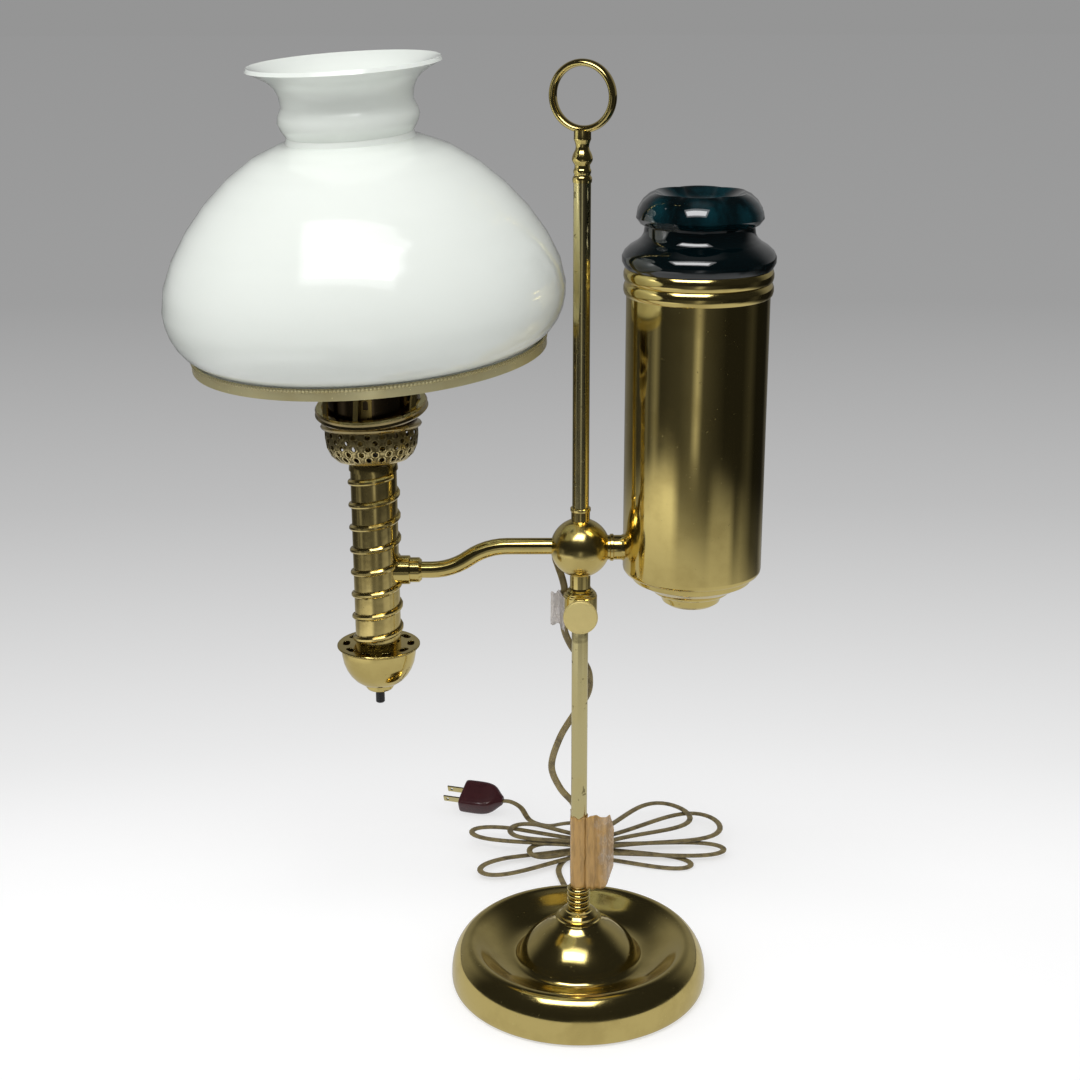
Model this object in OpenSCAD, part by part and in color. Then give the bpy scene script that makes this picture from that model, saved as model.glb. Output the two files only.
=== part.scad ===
// Two-armed student lamp: a milk-glass shade on one arm and a glass-capped tank on the other,
// balanced on one pole. Millimetres. The origin is the centre of the base on the table,
// +X runs towards the tank, -Y faces the viewer and +Z is up.

/* [Base and pole] */
// Greatest diameter of the weighted base
base_d = 204; // [194:1:212]
// Height of the base's round shoulder
shoulder_h = 38; // [34:1:41]
// Height of the bell in the middle of the base
bell_h = 56; // [51:1:62]
// Thickness of the spun brass
sheet = 1.2; // [0.8:0.1:1.5]
// Diameter of the pole
pole_d = 12.5; // [11.8:0.1:13.2]
// Wall of the pole and of the arm tube
tube_wall = 1.25; // [1:0.05:1.5]
// Height of the pole above the table
pole_h = 642; // [632:1:680]
// Outside diameter of the carrying ring
ring_d = 50.5; // [46:0.5:53]
// Thickness of the carrying ring
ring_bar = 5.2; // [4.4:0.1:6]
// Width of the carrying ring
ring_w = 8.8; // [7:0.2:10]

/* [Hub and clamp] */
// Height of the centre of the ball
hub_z = 368; // [352:1:376]
// Diameter of the ball
ball_d = 45; // [43:0.5:48]
// Diameter of the clamp's collar
collar_d = 25.8; // [24.4:0.2:28]
// Height of the clamp's collar
collar_h = 22; // [21:0.5:24]
// Diameter of the thumb screw's head
screw_d = 26; // [22:0.5:28]

/* [Burner arm] */
// Distance from the pole to the column
arm_reach = 153.5; // [153:0.5:160]
// Diameter of the arm tube
arm_d = 12.5; // [11.5:0.1:13]
// Drop of the arm between the ball and the column
arm_drop = 18.5; // [14:0.5:22]
// Diameter of the column
column_d = 34.4; // [33:0.2:36]
// Height of the column
column_h = 144; // [136:1:150]
// Pitch of the spiral bead round the column
rib_pitch = 17.6; // [16:0.2:20]
// Width of the spiral bead
rib_w = 4.5; // [3.6:0.1:5.2]
// Height of the spiral bead
rib_t = 2.2; // [1.6:0.1:2.6]
// Diameter of the drip cup
cup_d = 63; // [59:0.5:68]
// Diameter of the pierced basket
basket_d = 68.8; // [66:0.4:71]
// Height of the pierced basket
basket_h = 26; // [24.5:0.5:28]
// Diameter of the basket's holes
hole_d = 3.7; // [3:0.1:4.2]
// Travel of the switch's button
button_travel = 3; // [2:0.5:4]

/* [Shade] */
// Outside diameter of the shade holder's band
band_d = 256.6; // [254:0.2:262]
// Height of that band
band_h = 9; // [7:0.5:11]
// Greatest diameter of the glass shade
shade_d = 288.8; // [280:1:289]
// Height of the glass shade above the band
shade_h = 197; // [190:1:200]
// Diameter of the shade's flared rim
rim_d = 137; // [126:1:142]
// Thickness of the glass
glass = 3; // [2.4:0.1:3.4]
// Diameter of the holder's base ring
crown_d = 83.4; // [80:0.5:86]
// Diameter of the bulb
bulb_d = 60; // [50:1:62]

/* [Tank] */
// Distance from the pole to the middle of the tank
tank_reach = 83.7; // [80:0.5:90]
// Diameter of the tank
tank_d = 103.6; // [98:0.4:108]
// Height of the tank's straight wall
tank_h = 205; // [190:1:215]
// Diameter of the glass cap
cap_d = 111.4; // [108:0.4:116]
// Height of the glass cap above its seat
cap_h = 53; // [50:0.5:56]

/* [Cord] */
// Width of the flat two-wire cord
cord_w = 5.4; // [4.8:0.1:5.8]
// Thickness of that cord
cord_t = 2.8; // [2.4:0.1:3]

/* [Hidden] */
$fn = 72;

// Clearances: a running fit on a radius, and a gap between pieces that lift apart
run = 0.08;
gap = 0.3;

pole_r = pole_d / 2;
bore_r = pole_r + run;
base_r = base_d / 2;
ball_r = ball_d / 2;
arm_r = arm_d / 2;
col_r = column_d / 2;
cup_r = cup_d / 2;
tank_r = tank_d / 2;
cap_r = cap_d / 2;
band_r = band_d / 2;

// Heights on the pole
pad_t = 2;
weight_top = 15;
flange_h = 9;
bead_h = 4.7;
bead_count = 4;
neck_z = bell_h + flange_h;
neck_top = neck_z + bead_count * bead_h;
stem_z = pole_h;
ring_seat = pole_h + 31.2;
ring_r = ring_d / 2;
bar_r = ring_bar / 2;
ring_turn = -24;

// Heights on the clamp and the ball
sleeve_z = hub_z - 31.4;
washer_h = 6;
collar_z = sleeve_z - gap - washer_h - collar_h;
tail_h = 5;
screw_z = collar_z + 10.2;
screw_r = 2.5;
foot_of_sleeve = 7.75;
neck_of_sleeve = 7;

// The arm's bend: two equal arcs that drop the tube to the column
arm_z = hub_z + 1;
bend_x = 55;
bend_r = 49;
bend_a = acos(1 - arm_drop / (2 * bend_r));
bend_l = 2 * bend_r * sin(bend_a);
ferrule_z = arm_z - arm_drop;
ferrule_l = 17;
ferrule_r = arm_r + 4.7;

// Heights on the column
cup_z = hub_z - 76.5;
plate_t = 2;
knurl_z = cup_z - plate_t;
cup_depth = 31;
nut_h = 4.4;
cup_low = knurl_z - cup_depth;
switch_top = 23.5;
switch_floor = 12;
button_in = switch_floor - 2 * button_travel;
button_r = 3.45;
button_l = nut_h + 11;
flange_r = 5.2;
col_top = cup_z + column_h;
seat_r = col_r + 1;
seat_z = col_top - sqrt(seat_r * seat_r - col_r * col_r);
rib_turns = 7.55;
rib_steps = 24;
rib_start = 130;
wire_r = 1.2;
wire_x = 2.1;
nipple_r = 4.9;
socket_z = col_top + 10.5;
socket_r = 17.5;
socket_h = 44;

// The basket sits askew on the column's round seat, and the holder's ring leans the other way
basket_lean = [-6, -1.6, 0];
crown_lean = [7.5, -4, 0];
shade_lean = [2.04, -3.32, 0];
basket_z = 5;
first_row = 6;
basket_rows = 5;
row_holes = 20;
basket_top = basket_z + basket_h;
crown_z = col_top + 41;
band_z = crown_z + 49.8;
ledge = 4.3;
ledge_w = 10.4;
fit_r = band_r - sheet * 0.75 - 1.9;

// Heights on the tank
stub_z = hub_z;
stub_r = 9.35;
tank_z = hub_z - 14;
tank_top = tank_z + tank_h;
edge_r = 5;
tank_low = tank_z - edge_r;
foot_r = 24;
seam_r = tank_r - edge_r - 0.8;
collar_top = tank_top + 20;
spigot_r = tank_r - 3.3;

// Profiles: a cubic curve, its thinned wall, and rings turned from either
function bez(a, b, c, d, n) = [for (i = [0 : n - 1]) let (t = i / n, s = 1 - t)
    s * s * s * a + 3 * s * s * t * b + 3 * s * t * t * c + t * t * t * d];
function arc(c, r, from, to, n) = [for (i = [0 : n]) let (a = from + (to - from) * i / n)
    c + r * [cos(a), sin(a)]];
function side(a, b) = let (d = b - a) [d[1], -d[0]] / norm(d);
function beside(p, t) = let (last = len(p) - 1) [for (i = [0 : last]) let (
    n1 = side(p[min(max(i - 1, 0), last - 1)], p[max(i, 1)]),
    n2 = side(p[min(i, last - 1)], p[min(i + 1, last)]),
    m = (n1 + n2) / norm(n1 + n2)) p[i] + t * m / max(m * n1, 0.5)];
function backwards(p) = [for (i = [len(p) - 1 : -1 : 0]) p[i]];
function unit(v) = v / norm(v);

module turned(p) {
    rotate_extrude() polygon(p);
}

module spun(p, t) {
    turned(concat(p, backwards(beside(p, -t))));
}

module tube(r_out, r_in, h) {
    rotate_extrude() translate([r_in, 0]) square([r_out - r_in, h]);
}

module rod(a, b, r) {
    d = b - a;
    l = norm(d);
    translate(a) rotate([0, acos(d[2] / l), atan2(d[1], d[0])]) cylinder(h = l, r = r);
}

module slot(l, w, h) {
    for (s = [-1, 1]) translate([s * (l - w) / 2, 0, 0]) cylinder(h = h, d = w);
    translate([-(l - w) / 2, -w / 2, 0]) cube([l - w, w, h]);
}

module at_column() {
    translate([-arm_reach, 0, 0]) children();
}

module at_basket() {
    translate([-arm_reach, 0, seat_z]) rotate(basket_lean) children();
}

module at_crown() {
    translate([-arm_reach, 0, crown_z]) rotate(crown_lean) children();
}

module at_band() {
    translate([-arm_reach, 0, band_z]) rotate(shade_lean) children();
}

// Base and pole
base_curve = concat(
    bez([base_r - 4.5, 0.8], [base_r - 1.2, 1.4], [base_r, 4.5], [base_r, 9], 3),
    [[base_r, 9]],
    bez([base_r, 13], [base_r, 24], [base_r - 4.5, shoulder_h], [base_r - 12, shoulder_h], 5),
    bez([base_r - 12, shoulder_h], [base_r - 22, shoulder_h], [73, shoulder_h - 15.5],
        [60, shoulder_h - 16], 4),
    bez([60, shoulder_h - 16], [50, shoulder_h - 16.4], [45, shoulder_h - 13],
        [41, shoulder_h - 9], 3),
    bez([41, shoulder_h - 9], [34, shoulder_h - 1], [29, bell_h - 10], [24, bell_h - 4], 4),
    [[24, bell_h - 4], [21.5, bell_h - 1.4], [18, bell_h], [pole_r, bell_h]]);

module base_shell() {
    color("#8a6a2f") spun(base_curve, sheet);
}

module base_weight() {
    rim = base_r - sheet;
    color("#3a3a3c") difference() {
        turned([[pole_r, pad_t], [base_r - 7, pad_t], [rim, 9], [rim, 13], [rim - 4, weight_top],
                [pole_r, weight_top]]);
        translate([0, 0, pad_t - 1]) cylinder(h = 9, r = 13);
    }
}

module felt_pad() {
    color("#2d4a35") cylinder(h = pad_t, r = base_r - 7);
}

module pole_nut() {
    color("#8d8f93") difference() {
        translate([0, 0, 4]) cylinder(h = 6, r = 11, $fn = 6);
        cylinder(h = 12, r = pole_r);
    }
}

module base_flange() {
    color("#c9a55a") turned([[pole_r, bell_h], [17.5, bell_h], [17.8, bell_h + 1], [17.5, bell_h + 2],
        [15.6, bell_h + 2.4], [15.4, bell_h + 4], [13.6, bell_h + 6], [11, bell_h + 7.2],
        [10.8, bell_h + 8.2], [9.4, bell_h + flange_h], [pole_r, bell_h + flange_h]]);
}

module neck_rings() {
    color("#c9a55a") for (i = [0 : bead_count - 1])
        translate([0, 0, neck_z + i * bead_h])
            turned(concat([[pole_r, 0]], arc([6.9, bead_h / 2], 2.2, -80, 80, 8), [[pole_r, bead_h]]));
}

module pole() {
    color("#d3b56a") translate([0, 0, 2.5]) tube(pole_r, pole_r - tube_wall, pole_h - 2.5);
}

module finial_stem() {
    b = pole_r - tube_wall;
    color("#c9a55a") difference() {
        translate([0, 0, stem_z]) turned([[0, -12], [b, -12], [b, 0], [pole_r, 0], [pole_r, -3],
            [6.8, -3], [7, -0.8], [6.7, 0.8], [5.9, 1.8], [5.8, 2.6], [6.3, 3.8], [6.3, 5.6],
            [5.6, 7], [5.4, 9], [6.4, 10.6], [7.2, 12], [7.4, 13.4], [7.1, 15.2], [6.3, 17.4],
            [5.1, 19.8], [4.7, 21.7], [5, 23.8], [5.7, 25.8], [6.2, 27], [6.1, 28.4], [6.1, 33.4],
            [0, 33.4]]);
        carrying_ring();
    }
}

module carrying_ring() {
    translate([0, 0, ring_seat + ring_r]) rotate([0, 0, ring_turn]) rotate([90, 0, 0])
        turned([for (a = [0 : 15 : 345]) [ring_r - bar_r + bar_r * cos(a), ring_w / 2 * sin(a)]]);
}

module finial_ring() {
    color("#c9a55a") carrying_ring();
}

// Cord: routes are chosen by hand, and the tube is swept along them
function spline(p, i, t) = let (a = p[max(i - 1, 0)], b = p[i], c = p[i + 1],
    d = p[min(i + 2, len(p) - 1)]) 0.5 * (2 * b + (c - a) * t + (2 * a - 5 * b + 4 * c - d) * t * t
    + (3 * b - a - 3 * c + d) * t * t * t);
function smooth(p, n) = [for (i = [0 : len(p) - 2], s = [0 : n - 1]) spline(p, i, s / n),
    p[len(p) - 1]];
function heading(p, i) = unit(p[min(i + 1, len(p) - 1)] - p[max(i - 1, 0)]);
// One flat ring of the cord. lie is 0 where its width runs along X and 1 where it lies on the floor
function cord_ring(p, i, lie, n) = let (t = heading(p, i), w = unit(cross(t, [0, 1 - lie, lie])),
    h = cross(w, t)) [for (k = [0 : n - 1]) p[i] + cord_w / 2 * cos(360 * k / n) * w
    + cord_t / 2 * sin(360 * k / n) * h];

module cord_tube(p, lie_from, lie_to, n) {
    last = len(p) - 1;
    points = [for (i = [0 : last])
        each cord_ring(p, i, lie_from + (lie_to - lie_from) * i / last, n)];
    walls = [for (i = [0 : last - 1], k = [0 : n - 1]) let (a = i * n + k, b = i * n + (k + 1) % n)
        each [[a, a + n, b], [b, a + n, b + n]]];
    ends = [for (k = [1 : n - 2]) each [[0, k, k + 1], [last * n, last * n + k + 1, last * n + k]]];
    polyhedron(points, concat(walls, ends));
}

floor_z = cord_t / 2;

// The hank: each loop has its own pair of bights, and lies one cord above the last
waist = [14, 216];
waist_half = 9;
waist_step = 3.2;
loop_steps = 24;
layer = cord_t + 0.6;
bights_left = [[-84, 172, 17], [-40, 202, 15], [-94, 238, 15], [-58, 236, 17]];
bights_right = [[106, 190, 13], [138, 214, 15], [136, 264, 35], [104, 284, 36]];
loops = len(bights_left);

// A point of a bight: a runs from -90 at the back strand to 90 at the front one
function bight(b, a) = let (d = [b[0], b[1]] - waist, l = norm(d), e = d / l,
    half = waist_half + (b[2] * 2 - waist_half) * pow(cos(a), 2) * 0.9)
    waist + e * l * cos(a) + [e[1], -e[0]] * half * sin(a) * sign(e[0]);
function hank_z(u) = floor_z + layer * u;
function hank_point(u) = let (k = min(floor(u), loops - 1), s = (u - k) * 360,
    q = s < 180 ? bight(bights_right[k], 90 - s) : bight(bights_left[k], s - 270))
    [q[0], q[1], hank_z(k + min(1, max(0, (s - 180) / 45)))];
hank_path = [for (i = [0 : loops * loop_steps]) hank_point(i / loop_steps)];

// The least distance between the surfaces of two runs of the hank that aren't neighbours
function hank_gap() = let (last = len(hank_path) - 1,
    rings = [for (i = [0 : last]) cord_ring(hank_path, i, 1, 6)])
    min([for (i = [0 : last - 4], j = [i + 4 : last]) if (norm(hank_path[i] - hank_path[j]) < 12)
        min([for (a = rings[i], b = rings[j]) norm(a - b)])]);

module cord_hank() {
    echo(least_gap_of_the_hank = hank_gap());
    color("#4a3c28") cord_tube(hank_path, 1, 1, 6);
}

hank_start = hank_path[0];
hank_from = heading(hank_path, 0);
hank_end = hank_path[len(hank_path) - 1];
hank_to = heading(hank_path, len(hank_path) - 1);
plug_p = [-66, 298, 13.4];
plug_dir = unit([41, -13, 0]);

relief_u = unit([-0.62, 0.62, -0.48]);
relief_r = ball_r + 2.4;
relief_p = [0, 0, hub_z] + relief_r * relief_u;
tape_hold = [-11.8, 11.8, hub_z - 44];
split = [0, 0, gap];
pole_hold = [-3, 10.9, 140];

neck_route = [relief_p, relief_p + 2.5 * relief_u, relief_p + 5 * relief_u,
              [-16.8, 17.2, hub_z - 20], [-13.8, 14, hub_z - 28], tape_hold + [0, 0, 8],
              tape_hold + split];
run_route = [tape_hold, tape_hold - [0, 0, 12], tape_hold - [0, 0, 26], [-6, 13.4, hub_z - 85],
             [5, 12, hub_z - 100], [8, 12, 256], [6, 12.5, 243], [-4, 14, 226], [-15, 14, 206],
             [-21.5, 14, 182], [-15, 12.5, 164], [-5, 11.2, 152],
             pole_hold + [0, 0, 6], pole_hold];
tail_route = [pole_hold - split, pole_hold - [0, 0, 10], [-3, 10.9, 104], [-3, 10.9, 90],
              [-3, 13, 76], [-2, 26, 58], [-1, 44, 47], [0, 68, 41.6], [0, 88, 39.9],
              [0, 100, 36.8], [0, 110, 24], [-1, 120, 7],
              [-5, 138, floor_z], [-11, 160, floor_z], [-14, 182, floor_z], [-8, 200, floor_z],
              hank_start - 8 * hank_from, hank_start];

module cord_neck() {
    color("#4a3c28") cord_tube(smooth(neck_route, 2), 0, 0, 8);
}

module cord_run() {
    color("#4a3c28") cord_tube(smooth(run_route, 2), 0, 0, 8);
}

module cord_tail() {
    color("#4a3c28") cord_tube(smooth(tail_route, 2), 0, 1, 8);
}

lead_route = [hank_end, hank_end + 7 * hank_to, [31, 219, 16],
              [29, 236, 16], [15, 249, 15], [-6, 257, 10], [-24, 264, 4], [-40, 275, 4],
              [-49, 290, 10], plug_p + 8 * plug_dir, plug_p];

module cord_lead() {
    color("#4a3c28") cord_tube(smooth(lead_route, 2), 1, 1, 8);
}

plug_l = 41;
plug_w = 33;
plug_t = 17;
plug_tilt = 22;

module at_plug() {
    translate(plug_p) rotate([0, 0, atan2(-plug_dir[1], -plug_dir[0])])
        rotate([-plug_tilt, 0, 0]) children();
}

module plug_body() {
    color("#3b1717") at_plug() hull() {
        translate([0, 0, 0]) rotate([0, 90, 0]) cylinder(h = 1, r = 5, $fn = 32);
        for (s = [-1, 1]) translate([10, s * (plug_w / 2 - 7), 0]) sphere(r = 7, $fn = 24);
        for (s = [-1, 1], u = [-1, 1]) translate([plug_l - 3, s * (plug_w / 2 - 5), u * (plug_t / 2 - 4)])
            rotate([0, 90, 0]) cylinder(h = 3, r = 4, $fn = 24);
    }
}

module plug_blades() {
    color("#d8b860") at_plug() for (s = [-1, 1]) difference() {
        translate([plug_l, s * 6.35 - 0.75, -3.15]) cube([17.5, 1.5, 6.3]);
        translate([plug_l + 13.5, s * 6.35 - 2, 0]) rotate([-90, 0, 0]) cylinder(h = 4, d = 3);
    }
}

// A tape wrapped round a post and the cord beside it
module wrap(post_r, at, clear) {
    hull() {
        circle(r = (post_r + clear) / cos(180 / 32), $fn = 32);
        translate(at) scale([1, 0.6]) circle(r = cord_w / 2 + 0.4 + clear, $fn = 24);
    }
}

tape_t = 0.4;

module pole_tape() {
    at = [pole_hold[0], pole_hold[1]];
    low = neck_top + 0.4;
    h = 146 - low;
    color("#b98237") translate([0, 0, low]) {
        linear_extrude(h) difference() {
            wrap(pole_r, at, tape_t);
            wrap(pole_r, at, 0);
        }
        intersection() {
            linear_extrude(h + 4) polygon([[5, -5], [12, -6.6], [19, -5], [26, -6], [33, -4.4],
                                           [33, -3.8], [26, -5.4], [19, -4.4], [12, -6], [5, -4]]);
            translate([0, 20, 0]) rotate([90, 0, 0]) linear_extrude(40)
                polygon([[0, 0], [20, -2], [25, 4], [32, 12], [32.6, 44], [31, 60], [25.5, 64], [26, h + 3],
                         [24, h + 4], [16, h + 1], [0, h]]);
        }
    }
}

module clamp_tape() {
    at = [tape_hold[0], tape_hold[1]];
    color("#cfc7b4") translate([0, 0, collar_z - 7]) linear_extrude(collar_h + 6.5) {
        difference() {
            wrap(collar_d / 2, at, tape_t);
            wrap(collar_d / 2, at, 0);
            translate([-2, -60]) square([100, 200]);
            translate([-60, -65]) square([100, 60]);
        }
        translate(at) polygon([[-3.15, -0.3], [-6.2, -0.8], [-10.4, -0.1], [-10.4, 0.3], [-6.2, -0.4],
                               [-3.15, 0.2]]);
    }
}

// Clamp
module clamp_collar() {
    r = collar_d / 2;
    color("#c9a55a") difference() {
        translate([0, 0, collar_z]) turned([[bore_r, 0], [r - 0.8, 0], [r, 0.8], [r, collar_h - 0.5],
            [r - 0.5, collar_h], [bore_r, collar_h]]);
        translate([0, 0, screw_z]) rotate([90, 0, 0]) cylinder(h = r + 2, r = screw_r + 0.05);
    }
}

module clamp_washer() {
    r = collar_d / 2 - 0.5;
    color("#c9a55a") translate([0, 0, collar_z + collar_h]) turned([[bore_r, 0], [r, 0], [r, 1],
        [r - 1, 1.6], [r - 1, 2.4], [r - 2.3, 3.1], [r - 2.4, 3.9], [r - 3.9, 5], [r - 4.2, washer_h],
        [bore_r, washer_h]]);
}

module clamp_tail() {
    color("#c9a55a") translate([0, 0, collar_z - tail_h]) turned([[bore_r, 0], [7.4, 0], [7.8, 0.6],
        [7.8, 2], [7.4, 2.6], [7.6, tail_h], [bore_r, tail_h]]);
}

module thumb_screw() {
    inner = pole_r + gap;
    hub = collar_d / 2 + 0.5;
    r = screw_d / 2;
    color("#c9a55a") translate([0, 0, screw_z]) rotate([90, 0, 0]) turned([[0, inner],
        [screw_r, inner], [screw_r, hub], [5, hub], [5, hub + 2.2], [r - 0.8, hub + 2.2],
        [r, hub + 3], [r, hub + 5.6], [r - 0.8, hub + 6.4], [0, hub + 6.9]]);
}

// Ball, sleeve and arm
module hub_sleeve() {
    low = sleeve_z - hub_z;
    color("#c9a55a") translate([0, 0, hub_z]) turned([[bore_r, low], [foot_of_sleeve, low],
        [foot_of_sleeve, 0], [neck_of_sleeve, 0], [neck_of_sleeve, 28.3], [neck_of_sleeve + 0.6, 28.8],
        [neck_of_sleeve + 0.7, 29.4], [neck_of_sleeve + 0.7, 31], [neck_of_sleeve + 0.2, 31.5],
        [bore_r, 31.5]]);
}

module hub_ball() {
    color("#d3b56a") translate([0, 0, hub_z]) difference() {
        sphere(r = ball_r);
        sphere(r = ball_r - 1.6);
        translate([0, 0, -ball_r - 1]) cylinder(h = ball_r + 1, r = foot_of_sleeve);
        cylinder(h = ball_r + 1, r = neck_of_sleeve);
        rod([0, 0, arm_z - hub_z], [-ball_r - 2, 0, arm_z - hub_z], arm_r);
        rod([0, 0, 0], (ball_r + 2) * relief_u, 3.4);
    }
}

module cord_relief() {
    color("#2c2520") translate([0, 0, hub_z])
        rotate([0, acos(relief_u[2]), atan2(relief_u[1], relief_u[0])]) turned([[0, ball_r - 3],
            [3.4, ball_r - 3], [3.4, ball_r], [4.6, ball_r], [4.3, relief_r], [0, relief_r]]);
}

// The arm's centre line, from the ball to the column
arm_to = arm_reach - col_r;
function arm_path(from, to) = concat([[-from, 0, arm_z]],
    [for (i = [0 : 6]) let (a = bend_a * i / 6)
        [-bend_x - bend_r * sin(a), 0, arm_z - bend_r * (1 - cos(a))]],
    [for (i = [5 : -1 : 0]) let (a = bend_a * i / 6)
        [-bend_x - bend_l + bend_r * sin(a), 0, ferrule_z + bend_r * (1 - cos(a))]],
    [[-to, 0, ferrule_z]]);
function pipe_ring(p, i, r, n) = let (h = cross(heading(p, i), [0, 1, 0]))
    [for (k = [0 : n - 1]) p[i] + r * cos(360 * k / n) * [0, 1, 0] + r * sin(360 * k / n) * h];

module arm_tube() {
    n = 32;
    p = arm_path(18, arm_to + sheet);
    m = len(p);
    rings = concat([for (i = [0 : m - 1]) each pipe_ring(p, i, arm_r, n)],
                   [for (i = [m - 1 : -1 : 0]) each pipe_ring(p, i, arm_r - tube_wall, n)]);
    walls = [for (i = [0 : 2 * m - 1], k = [0 : n - 1]) let (j = (i + 1) % (2 * m), q = (k + 1) % n)
        each [[i * n + k, j * n + k, i * n + q], [i * n + q, j * n + k, j * n + q]]];
    color("#d3b56a") polyhedron(rings, walls);
}

module arm_wire() {
    inner = [0, 0, hub_z] + (ball_r - 3) * relief_u;
    route = concat([inner, inner - 5 * relief_u, [-13.5, 1, hub_z - 4]],
                   arm_path(17, arm_reach - wire_x - wire_r));
    color("#4a3c28") cord_tube(route, 0, 0, 8);
}

module arm_ferrule() {
    e = arm_reach - col_r;
    s = e - ferrule_l;
    color("#c9a55a") difference() {
        translate([0, 0, ferrule_z]) rotate([0, -90, 0]) turned([[arm_r, s], [arm_r + 1.4, s],
            [arm_r + 3.2, s + 2], [arm_r + 3.2, s + 8.5], [ferrule_r - 0.4, s + 8.8],
            [ferrule_r, s + 9.4], [ferrule_r, e + 4], [arm_r, e + 4]]);
        at_column() translate([0, 0, cup_z]) cylinder(h = column_h, r = col_r);
    }
}

// Column with its spiral bead
module column_tube() {
    color("#8d6c34") difference() {
        at_column() translate([0, 0, cup_z]) tube(col_r, col_r - sheet, column_h);
        translate([0, 0, ferrule_z]) rod([-arm_reach, 0, 0], [-arm_reach + 30, 0, 0], arm_r);
    }
}

// One ring of the bead: six points, the two inner ones just outside the column's facets
function rib_ring(a, z) = let (c = [cos(a), sin(a)], ri = col_r / cos(180 / rib_steps) + 0.01,
    h = rib_w / 2, ro = col_r + rib_t)
    [for (q = [[ri, -h], [ro - rib_t * 0.35, -h * 0.85], [ro, -h * 0.35], [ro, h * 0.35],
               [ro - rib_t * 0.35, h * 0.85], [ri, h]]) [q[0] * c[0], q[0] * c[1], z + q[1]]];

module rib_coil() {
    count = round(rib_turns * rib_steps);
    low = cup_z + rib_w / 2 + 0.3;
    step = rib_pitch / rib_steps;
    points = [for (i = [0 : count]) each rib_ring(rib_start + i * 360 / rib_steps, low + i * step)];
    walls = [for (i = [0 : count - 1], k = [0 : 5]) let (a = i * 6 + k, b = i * 6 + (k + 1) % 6)
        each [[a, b, a + 6], [b, b + 6, a + 6]]];
    ends = [for (k = [1 : 4]) each [[0, k + 1, k], [count * 6, count * 6 + k, count * 6 + k + 1]]];
    at_column() polyhedron(points, concat(walls, ends));
}

module column_rib() {
    color("#c9a55a") difference() {
        rib_coil();
        translate([0, 0, ferrule_z])
            rod([-arm_reach + 2, 0, 0], [-arm_reach + 40, 0, 0], ferrule_r + 0.02);
        at_column() translate([0, 0, seat_z - 0.02]) cylinder(h = 30, r = seat_r + 5);
    }
}

module column_cap() {
    color("#8d6c34") at_column() translate([0, 0, seat_z])
        turned(concat([[col_r, 0]], arc([0, 0], seat_r, 0, acos(col_r / seat_r), 5)));
}

module column_wires() {
    color("#2c2520") at_column() for (s = [-1, 1]) translate([s * wire_x, 0, cup_low + switch_top])
        cylinder(h = socket_z + 16 - cup_low - switch_top, r = wire_r);
}

module socket_nipple() {
    z = col_top - 12;
    color("#8d8f93") at_column() turned([[nipple_r - 1.2, z], [col_r - sheet, z],
        [col_r - sheet, z + 2.5], [nipple_r, z + 2.5], [nipple_r, socket_z + 1.5],
        [nipple_r - 1.2, socket_z + 1.5]]);
}

// Drip cup and its push switch
module cup_plate() {
    color("#c9a55a") at_column() difference() {
        translate([0, 0, knurl_z]) turned([[9, 0], [cup_r - 0.8, 0], [cup_r, 0.8], [cup_r, 1.4],
            [cup_r - 0.6, plate_t], [9, plate_t]]);
        for (i = [0 : 9]) rotate([0, 0, 36 * i]) translate([cup_r - 7, 0, knurl_z - 1])
            rotate([0, 0, 90]) slot(9.4, 5.4, plate_t + 2);
    }
}

module cup_bowl() {
    r = cup_r - 1.3;
    color("#c9a55a") at_column() translate([0, 0, cup_low]) spun(concat([[5.2, 0]],
        bez([10.75, 0], [19.6, 2.6], [r - 3.4, 12.5], [r - 2.2, 24], 6),
        [[r - 2.2, 24], [r - 1.9, cup_depth - 4], [r - 1.9, cup_depth]]), 1);
}

module cup_nut() {
    color("#c9a55a") at_column() translate([0, 0, cup_low - nut_h]) turned([[5.2, 0], [8.4, 0],
        [9.8, 0.9], [10.2, 1.9], [10.75, 2.4], [10.75, nut_h], [5.2, nut_h]]);
}

module switch_body() {
    r = button_r + gap / 3;
    color("#1d1b1a") at_column() translate([0, 0, cup_low]) turned([[r, 0.5 - nut_h],
        [5.2, 0.5 - nut_h], [5.2, 1],
        [9.5, 1], [9.5, switch_top], [0, switch_top], [0, switch_floor], [flange_r + gap, switch_floor],
        [flange_r + gap, 2.5], [r, 2.5]]);
}

module switch_button() {
    color("#151414") at_column() translate([0, 0, cup_low]) turned([[0, -button_l], [button_r - 0.6, -button_l],
        [button_r, 0.6 - button_l], [button_r, 2.6], [flange_r, 2.6], [flange_r, button_in], [0, button_in]]);
}

module switch_spring() {
    color("#8d8f93") at_column() translate([0, 0, cup_low + button_in])
        tube(3.1, 2.2, switch_floor - button_in);
}

// Pierced basket and gallery
basket_r = basket_d / 2;
basket_curve = concat([[16, basket_z]],
    bez([19, basket_z], [28.6, basket_z + 0.8], [basket_r, basket_z + 9.5],
        [basket_r, basket_top - 6], 4),
    [[basket_r, basket_top - 6], [basket_r, basket_top]]);

module burner_basket() {
    color("#b08a45") difference() {
        at_basket() difference() {
            spun(basket_curve, 0.9);
            for (j = [0 : basket_rows - 1], i = [0 : row_holes - 1])
                let (h = basket_z + first_row + 4.4 * j, a = 360 / row_holes * (i + (j % 2) / 2))
                rotate([0, 0, a]) translate([15, 0, h]) rotate([0, 90, 0])
                    cylinder(h = 25, d = hole_d, $fn = 20);
        }
        translate([-arm_reach, 0, seat_z]) sphere(r = seat_r);
    }
}

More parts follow.
